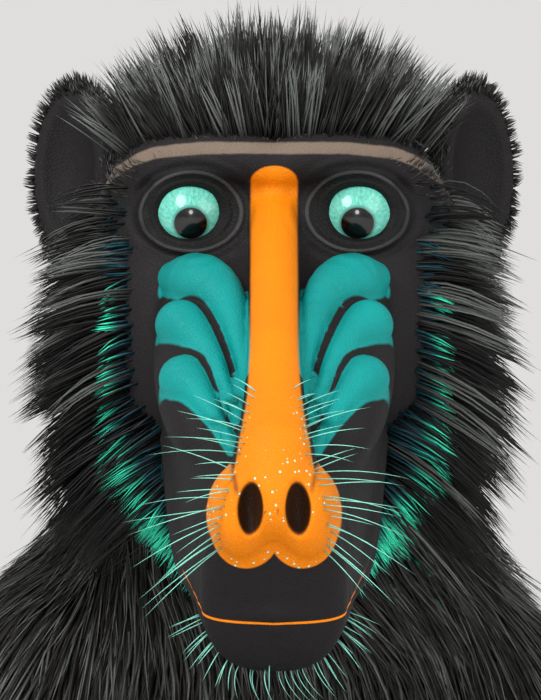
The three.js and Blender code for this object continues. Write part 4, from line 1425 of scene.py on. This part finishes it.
def whisker_layer(colours):
    """Pale whiskers that fan from the sides of the nose, and bristles round the chin."""
    draw = np.random.default_rng(71)
    rows, stops = [], range(len(WHISKERS))
    for side in (-1, 1):
        for i in range(WHISKER_COUNT):
            t = (i + 0.8 * draw.random()) / WHISKER_COUNT * stops[-1]
            x, along, above, slope, length = (np.interp(t, stops, column) for column in zip(*WHISKERS))
            root = (x + draw.uniform(-3.5, 0.5), along, above)
            way = (1, 0.2, slope + draw.normal(0, 0.16))
            rows.append((side, root, way, length * draw.uniform(0.5, 1.15)))
    for i in range(BRISTLE_COUNT):
        a = math.radians(np.interp(i + draw.uniform(-0.4, 0.4), [0, BRISTLE_COUNT - 1], [-92, 92]))
        root = (23 * abs(math.sin(a)), 116 + 20 * math.cos(a), -82 + 6 * draw.random())
        way = (abs(math.sin(a)), 0.35, -math.cos(a) - 0.25 + draw.normal(0, 0.12))
        rows.append((math.copysign(1, a), root, way, draw.uniform(7, 13)))
    side, roots, ways, length = (np.array(column) for column in zip(*rows))
    points = pulled(muzzle_point(*roots.T), 5)
    ways = head_way(*ways.T)
    points[:, 0] *= side
    ways[:, 0] *= side
    spots = Spots(points, unit(distance_and_slope(points)[1]))
    pale = np.tile(np.array(colours.whisker), (len(rows), 1))
    return {
        "spots": spots,
        "start": unit(ways + 0.5 * spots.normals) * length[:, None],
        "bend": ways * length[:, None] * 0.1 - UP * (draw.uniform(0.05, 0.25, len(rows)) * length)[:, None],
        "width": np.full(len(rows), WHISKER_WIDTH),
        "thick": np.full(len(rows), WHISKER_WIDTH),
        "tint": pale * 0.9,
        "tip": pale,
    }


HAIRS = {"fur": ShortFur, "mantle": Mantle, "crest": Crest, "ruff": Ruff, "fringe": Fringe}
FUR_PIECES = {
    "head": ["head", "ear"],
    "trunk": ["torso", "tail"],
    "arm": ["upper_arm", "forearm", "hand"],
    "leg": ["thigh", "shank", "foot"],
}


def unwrapped(points):
    """A place on an unwrap of the skin round each point: the angle about its middle, and its height."""
    middle = points.mean(0)
    angle = np.arctan2(points[:, 0] - middle[0], -(points[:, 1] - middle[1])) / (2 * math.pi) + 0.5
    height = points[:, 2]
    height = (height - height.min()) / max(np.ptp(height), 1e-6)
    return np.column_stack([0.01 + 0.98 * angle, 0.01 + 0.98 * height, np.zeros(len(points))])


def rooted(layer, keep):
    """The values that a tuft's nodes read, for the roots to keep.

    Root, middle and tip are each turned by their own share, so the tufts follow the neck as the skin does.
    """
    points, normals = layer["spots"].points[keep], layer["spots"].normals[keep]
    start, bend = layer["start"][keep], layer["bend"][keep]
    root = placed(points)
    half = placed(points + start / 2 + bend / 4) - root
    tip = placed(points + start + bend) - root
    start, bend = 4 * half - tip, 2 * tip - 4 * half
    length = np.linalg.norm(start, axis=1)
    return {
        "root": root - turned(points, normals) * ROOT_DEPTH,
        "aim": start / length[:, None],
        "face": turned(points, normals),
        "size": np.column_stack([layer["width"][keep] * MM / 2, layer["thick"][keep] * MM / 2, length]),
        "bend": bend,
        "place": unwrapped(points),
        "tint": layer["tint"][keep],
        "tip": layer["tip"][keep],
    }


# Sizes and colours that a user would change


def length_property(name, description, default):
    return bpy.props.FloatProperty(
        name=name, description=description, default=default, min=0.0, unit="LENGTH"
    )


def count_property(name, description, default):
    return bpy.props.IntProperty(name=name, description=description, default=default, min=0)


def colour_property(name, description, default):
    return bpy.props.FloatVectorProperty(
        name=name, description=description, default=default, size=3, subtype="COLOR", min=0.0, max=1.0
    )


class MandrillSizes(bpy.types.PropertyGroup):
    crest_length: length_property("Crest length", "Length of the upright hair over the brow", 0.036)
    ruff_length: length_property("Ruff length", "Length of the hair that fans from the cheeks", 0.052)
    short_tufts: count_property("Short tufts", "Tufts of short fur", 84000)
    mantle_tufts: count_property("Mantle tufts", "Tufts of long hair on nape, shoulders and back", 16000)
    crest_tufts: count_property("Crest tufts", "Tufts of the upright crest", 4600)
    ruff_tufts: count_property("Ruff tufts", "Tufts of the long hair of the cheeks", 3600)
    fringe_tufts: count_property("Fringe tufts", "Tufts of the cheeks' flecked fur", 5000)


class MandrillColours(bpy.types.PropertyGroup):
    charcoal: colour_property("Face skin", "Bare skin of face, hands and feet", linear(20, 18, 19))
    orange: colour_property("Stripe", "Bridge of the nose and the nose", linear(236, 130, 0))
    teal: colour_property("Ridges", "Ridges beside the nose", linear(4, 144, 140))
    taupe: colour_property("Brow band", "Pale band along the brow", linear(114, 99, 87))
    eye: colour_property("Iris", "Iris of the eye", linear(108, 202, 182))
    coat: colour_property("Coat", "Coat at the roots", linear(30, 28, 27))
    tick: colour_property("Ticking", "Grey tips of the coat", linear(96, 99, 95))
    strand: colour_property("Strands", "Grey hair of crest and ruff", linear(104, 108, 104))
    cheek: colour_property("Cheek", "Hair of the cheeks at the roots", linear(3, 52, 62))
    fleck: colour_property("Flecks", "Tips of the cheek hair", linear(60, 236, 190))
    whisker: colour_property("Whiskers", "Whiskers and chin bristles", linear(150, 236, 214))
    seat_pad: colour_property("Seat pads", "Bare pads that it sits on", linear(176, 120, 138))
    rump: colour_property("Rump", "Bare skin at the sides of the rump", linear(98, 108, 176))
    tail_ring: colour_property("Tail ring", "Bare skin round the tail", linear(170, 72, 96))
    nail: colour_property("Nails", "Nails of hands and feet", linear(52, 48, 46))


# Operators, one for each group of pieces


def rings_of_quads(rings, spokes):
    """Faces between rings of points, each ring closed on itself."""
    for i in range(rings):
        for j in range(spokes):
            k = (j + 1) % spokes
            yield i * spokes + j, i * spokes + k, (i + 1) * spokes + k, (i + 1) * spokes + j


def close(mesh):
    """Merges the points that meet at a pole, and turns the faces outwards."""
    work = bmesh.new()
    work.from_mesh(mesh)
    bmesh.ops.remove_doubles(work, verts=work.verts, dist=MEETING)
    bmesh.ops.recalc_face_normals(work, faces=work.faces)
    work.to_mesh(mesh)
    work.free()


class MandrillMaker:
    """What the operators share."""

    bl_options = {"REGISTER", "UNDO"}

    @property
    def sizes(self):
        return bpy.context.scene.mandrill_sizes

    @property
    def colours(self):
        return bpy.context.scene.mandrill_colours


BARE_NODES = ["head", "jaw", "ear_left", "ear_right", "neck", "torso", "tail"]
SIDE_NODES = ["thigh", "upper_arm", "shank", "forearm", "foot", "hand", "seat_pad"]


class MANDRILL_OT_skin(MandrillMaker, bpy.types.Operator):
    """Makes the one skin of the whole body, with its folds, lids and markings"""

    bl_idname = "mandrill.skin"
    bl_label = "Skin"

    def execute(self, context):
        plain = plain_skin(SKIN_CELL)
        points = read(plain.vertices, "co", 3)
        mesh = plain.copy()
        mesh.name = "skin"
        write(mesh.vertices, "co", placed(points))
        for name, values in markings(points).items():
            add_values(mesh, name, values)
        mesh.update()
        mesh.shade_smooth()
        nodes = [*BARE_NODES, *(f"{n}_{side}" for n in SIDE_NODES for side in ("left", "right"))]
        new_object("skin", mesh, skin_material(self.colours), stands_for=nodes)
        return {"FINISHED"}


class MANDRILL_OT_eyes(MandrillMaker, bpy.types.Operator):
    """Makes the two eyeballs, each with a raised cornea, and the iris and pupil in its colour"""

    bl_idname = "mandrill.eyes"
    bl_label = "Eyes"

    gaze_down = math.radians(22)
    rings, spokes = 40, 64
    cornea_edge, cornea_rise = math.radians(52), 0.9
    fibre_spread, fibre_length = 4, 0.012

    def execute(self, context):
        material = eye_material(self.colours)
        for name, side in (("left", 1), ("right", -1)):
            self.eye(name, side, material)
        return {"FINISHED"}

    def eye(self, name, side, material):
        """A ball of rings and spokes, whose front pole is the middle of the cornea."""
        angle = np.linspace(0, math.pi, self.rings + 1)[1:-1]
        spoke = np.arange(self.spokes) * 2 * math.pi / self.spokes
        a, s = (v.ravel() for v in np.meshgrid(angle, spoke, indexing="ij"))
        a, s = np.append(a, [0, math.pi]), np.append(s, [0, 0])
        rise = np.cos(np.clip(a / self.cornea_edge, 0, 1) * math.pi / 2) ** 2 * self.cornea_rise
        r = EYEBALL["radius"] + rise
        x, f, u = r * np.sin(a) * np.cos(s), r * np.cos(a), r * np.sin(a) * np.sin(s)
        c, d = math.cos(self.gaze_down), math.sin(self.gaze_down)
        points = head_point(side * EYE_SPACING / 2 + x, EYEBALL["forward"] + f * c + u * d, u * c - f * d)
        front, back = len(points) - 2, len(points) - 1
        last = (len(angle) - 1) * self.spokes
        faces = list(rings_of_quads(len(angle) - 1, self.spokes))
        for j in range(self.spokes):
            k = (j + 1) % self.spokes
            faces += [(front, k, j), (back, last + j, last + k)]
        mesh = bpy.data.meshes.new(f"eye_ball_{name}")
        mesh.from_pydata(placed(points).tolist(), [], faces)
        ring = np.degrees(a)
        fibre = np.column_stack([np.cos(s), np.sin(s), ring * self.fibre_length]) * self.fibre_spread
        add_values(mesh, "ring", ring)
        add_values(mesh, "fibre", fibre, "FLOAT_VECTOR")
        close(mesh)
        mesh.shade_smooth()
        new_object(f"eye_ball_{name}", mesh, material, stands_for=[f"eye_{name}"])


class MANDRILL_OT_coat(MandrillMaker, bpy.types.Operator):
    """Grows the coat in tufts that follow its lie: short fur, mantle, crest, ruff and fringe"""

    bl_idname = "mandrill.coat"
    bl_label = "Coat"

    def execute(self, context):
        tree, material = tuft_tree(), coat_material()
        for name, kind in HAIRS.items():
            hair = kind(self.sizes, self.colours)
            layer = hair.roots()
            groups = FUR_PIECES if name == "fur" else {"": list(PARTS)}
            for group, parts in groups.items():
                for side, sign in (("left", 1), ("right", -1)):
                    keep = layer["spots"].on(*parts) & (layer["spots"].side == sign)
                    piece = "_".join(filter(None, [name, group, side]))
                    mesh = grow_tufts(piece, rooted(layer, keep), material, tree, hair.segments)
                    new_object(piece, mesh, material)
        return {"FINISHED"}


class MANDRILL_OT_whiskers(MandrillMaker, bpy.types.Operator):
    """Sets the whiskers beside the nose and the bristles of the chin"""

    bl_idname = "mandrill.whiskers"
    bl_label = "Whiskers"

    def execute(self, context):
        layer = whisker_layer(self.colours)
        keep, material = np.ones(len(layer["width"]), bool), coat_material("whisker")
        mesh = grow_tufts("whiskers", rooted(layer, keep), material, tuft_tree(), 8)
        new_object("whiskers", mesh, material)
        return {"FINISHED"}


class MANDRILL_OT_nails(MandrillMaker, bpy.types.Operator):
    """Makes the narrow, bent nails of each hand and foot"""

    bl_idname = "mandrill.nails"
    bl_label = "Nails"

    rings, spokes = 8, 12
    half_width, half_length, thickness = 3.3, 6.2, 1.5  # millimetres, on a fingertip of the radius below
    tip_radius = 5.2
    overhang, sunk = 2.2, 0.4
    bow, side_bow = 0.028, 0.09

    def execute(self, context):
        material = nail_material(self.colours)
        for limb, thumb in (("finger", "thumb"), ("toe", "big_toe")):
            names = [thumb, *(f"{limb}_{i}" for i in range(len(DIGITS)))]
            for name, side in (("left", 1), ("right", -1)):
                vertices, faces = [], []
                for digit_name in names:
                    quads = rings_of_quads(self.rings, self.spokes)
                    faces += [[len(vertices) + i for i in face] for face in quads]
                    vertices += placed(self.nail(FORMS[digit_name]) * [side, 1, 1]).tolist()
                mesh = bpy.data.meshes.new(f"nails_{limb}_{name}")
                mesh.from_pydata(vertices, [], faces)
                close(mesh)
                mesh.shade_smooth()
                new_object(mesh.name, mesh, material)
        return {"FINISHED"}

    def nail(self, form):
        """A flat egg, bent down at its sides and its tip, on the end of a digit."""
        tip, before = form.mids[-1], form.mids[-2]
        radius = form.halves[-1][0]
        way = unit(tip - before)
        across = unit(np.cross(way, UP))
        up = np.cross(across, way)
        a = np.linspace(0, math.pi, self.rings + 1)
        b = np.arange(self.spokes) * 2 * math.pi / self.spokes
        a, b = (v.ravel() for v in np.meshgrid(a, b, indexing="ij"))
        x = self.half_width * np.sin(a) * np.cos(b) * radius / self.tip_radius
        y = self.half_length * np.cos(a)
        z = self.thickness * np.sin(a) * np.sin(b) - self.bow * (y + 2) ** 2 - self.side_bow * x * x
        middle = tip + way * self.overhang + up * (radius - self.sunk)
        return middle + x[:, None] * across + y[:, None] * way + z[:, None] * up


class MANDRILL_OT_stage(MandrillMaker, bpy.types.Operator):
    """Sets the pale floor, the soft lights and the camera at the picture's angle"""

    bl_idname = "mandrill.stage"
    bl_label = "Stage"

    azimuth, elevation = math.radians(-25), math.radians(-5)
    distance = 2.4
    frame_height = 700
    scale = 0.000335  # metres in one dot of the picture, at the head
    target = (-1.2, 12.0, -47.5)  # the picture's middle, in the head's frame
    sensor = 36.0  # millimetres
    exposure = -0.25
    floor_half = 40.0
    floor_tones = (0.74, 0.73, 0.72), (0.77, 0.76, 0.75)
    world_tone = (0.88, 0.87, 0.86, 1)
    # Soft lights in a ring: degrees from the front, height, watts and size
    lights_round = {"key": (-60, 1.7, 46, 1.1), "fill": (25, 1.2, 18, 1.6), "rim": (150, 1.8, 40, 1.2)}
    ring_radius, ring_target = 1.9, Vector((0, 0, 0.4))
    catch_power, catch_size, catch_height = 16.0, 0.55, 0.35

    def execute(self, context):
        context.scene.view_settings.view_transform = "Standard"
        context.scene.view_settings.exposure = self.exposure
        self.floor()
        self.lights()
        self.camera()
        return {"FINISHED"}

    def floor(self):
        mesh = bpy.data.meshes.new("floor")
        half = self.floor_half
        corners = [(-half, -half, 0), (half, -half, 0), (half, half, 0), (-half, half, 0)]
        mesh.from_pydata(corners, [], [(0, 1, 2, 3)])
        material, nodes, shader = new_material("floor", Roughness=0.85)
        nodes.give(shader, Base_Color=nodes.mix(nodes.noise(3.0), *self.floor_tones))
        mesh.materials.append(material)
        floor = bpy.data.objects.new("floor", mesh)
        bpy.context.scene.collection.objects.link(floor)

    def lights(self):
        world = bpy.data.worlds.new("studio")
        bpy.context.scene.world = world
        world.use_nodes = True
        world.node_tree.nodes["Background"].inputs["Color"].default_value = self.world_tone
        for name, (turn, height, power, size) in self.lights_round.items():
            a = math.radians(turn)
            place = Vector((self.ring_radius * math.sin(a), -self.ring_radius * math.cos(a), height))
            self.lamp(name, place, self.ring_target, power, size)
        # A weak light over the camera, for the glint in the eyes
        middle, back = self.view()
        place = middle + back * (self.distance - 0.1) + Vector((0, 0, self.catch_height))
        self.lamp("catch", place, middle, self.catch_power, self.catch_size)

    def lamp(self, name, place, target, power, size):
        light = bpy.data.lights.new(name, "AREA")
        light.shape, light.energy, light.size = "DISK", power, size
        lamp = bpy.data.objects.new(name, light)
        bpy.context.scene.collection.objects.link(lamp)
        lamp.location = place
        lamp.rotation_euler = (target - place).to_track_quat("-Z", "Y").to_euler()

    def view(self):
        """The middle of the picture, and the way from it to the camera."""
        a, e = self.azimuth, self.elevation
        back = Vector((math.sin(a) * math.cos(e), -math.cos(a) * math.cos(e), math.sin(e)))
        return Vector(placed(head_point(*self.target)[None])[0]), back

    def camera(self):
        """The camera that frames the head as the picture does. Its sensor spans the picture's height."""
        data = bpy.data.cameras.new("camera")
        data.sensor_width = self.sensor
        data.lens = self.sensor * self.distance / (self.frame_height * self.scale)
        camera = bpy.data.objects.new("camera", data)
        bpy.context.scene.collection.objects.link(camera)
        middle, back = self.view()
        camera.location = middle + back * self.distance
        camera.rotation_euler = (-back).to_track_quat("-Z", "Y").to_euler()
        data.clip_start, data.clip_end = 0.05, 100.0
        bpy.context.scene.camera = camera


class MANDRILL_PT_panel(bpy.types.Panel):
    """Lists the mandrill's makers, sizes and colours"""

    bl_idname = "MANDRILL_PT_panel"
    bl_label = "Mandrill"
    bl_space_type = "VIEW_3D"
    bl_region_type = "UI"
    bl_category = "Mandrill"

    def draw(self, context):
        for maker in MAKERS:
            self.layout.operator(maker.bl_idname)
        for group in (context.scene.mandrill_sizes, context.scene.mandrill_colours):
            for name in group.__annotations__:
                self.layout.prop(group, name)


MAKERS = [
    MANDRILL_OT_skin,
    MANDRILL_OT_eyes,
    MANDRILL_OT_nails,
    MANDRILL_OT_coat,
    MANDRILL_OT_whiskers,
    MANDRILL_OT_stage,
]
CLASSES = [MandrillSizes, MandrillColours, *MAKERS, MANDRILL_PT_panel]


def register():
    for item in CLASSES:
        bpy.utils.register_class(item)
    bpy.types.Scene.mandrill_sizes = bpy.props.PointerProperty(type=MandrillSizes)
    bpy.types.Scene.mandrill_colours = bpy.props.PointerProperty(type=MandrillColours)


def unregister():
    del bpy.types.Scene.mandrill_colours
    del bpy.types.Scene.mandrill_sizes
    for item in reversed(CLASSES):
        bpy.utils.unregister_class(item)


def main():
    register()
    bpy.ops.mandrill.skin()
    bpy.ops.mandrill.eyes()
    bpy.ops.mandrill.nails()
    bpy.ops.mandrill.coat()
    bpy.ops.mandrill.whiskers()
    bpy.ops.mandrill.stage()


if __name__ == "__main__":
    main()
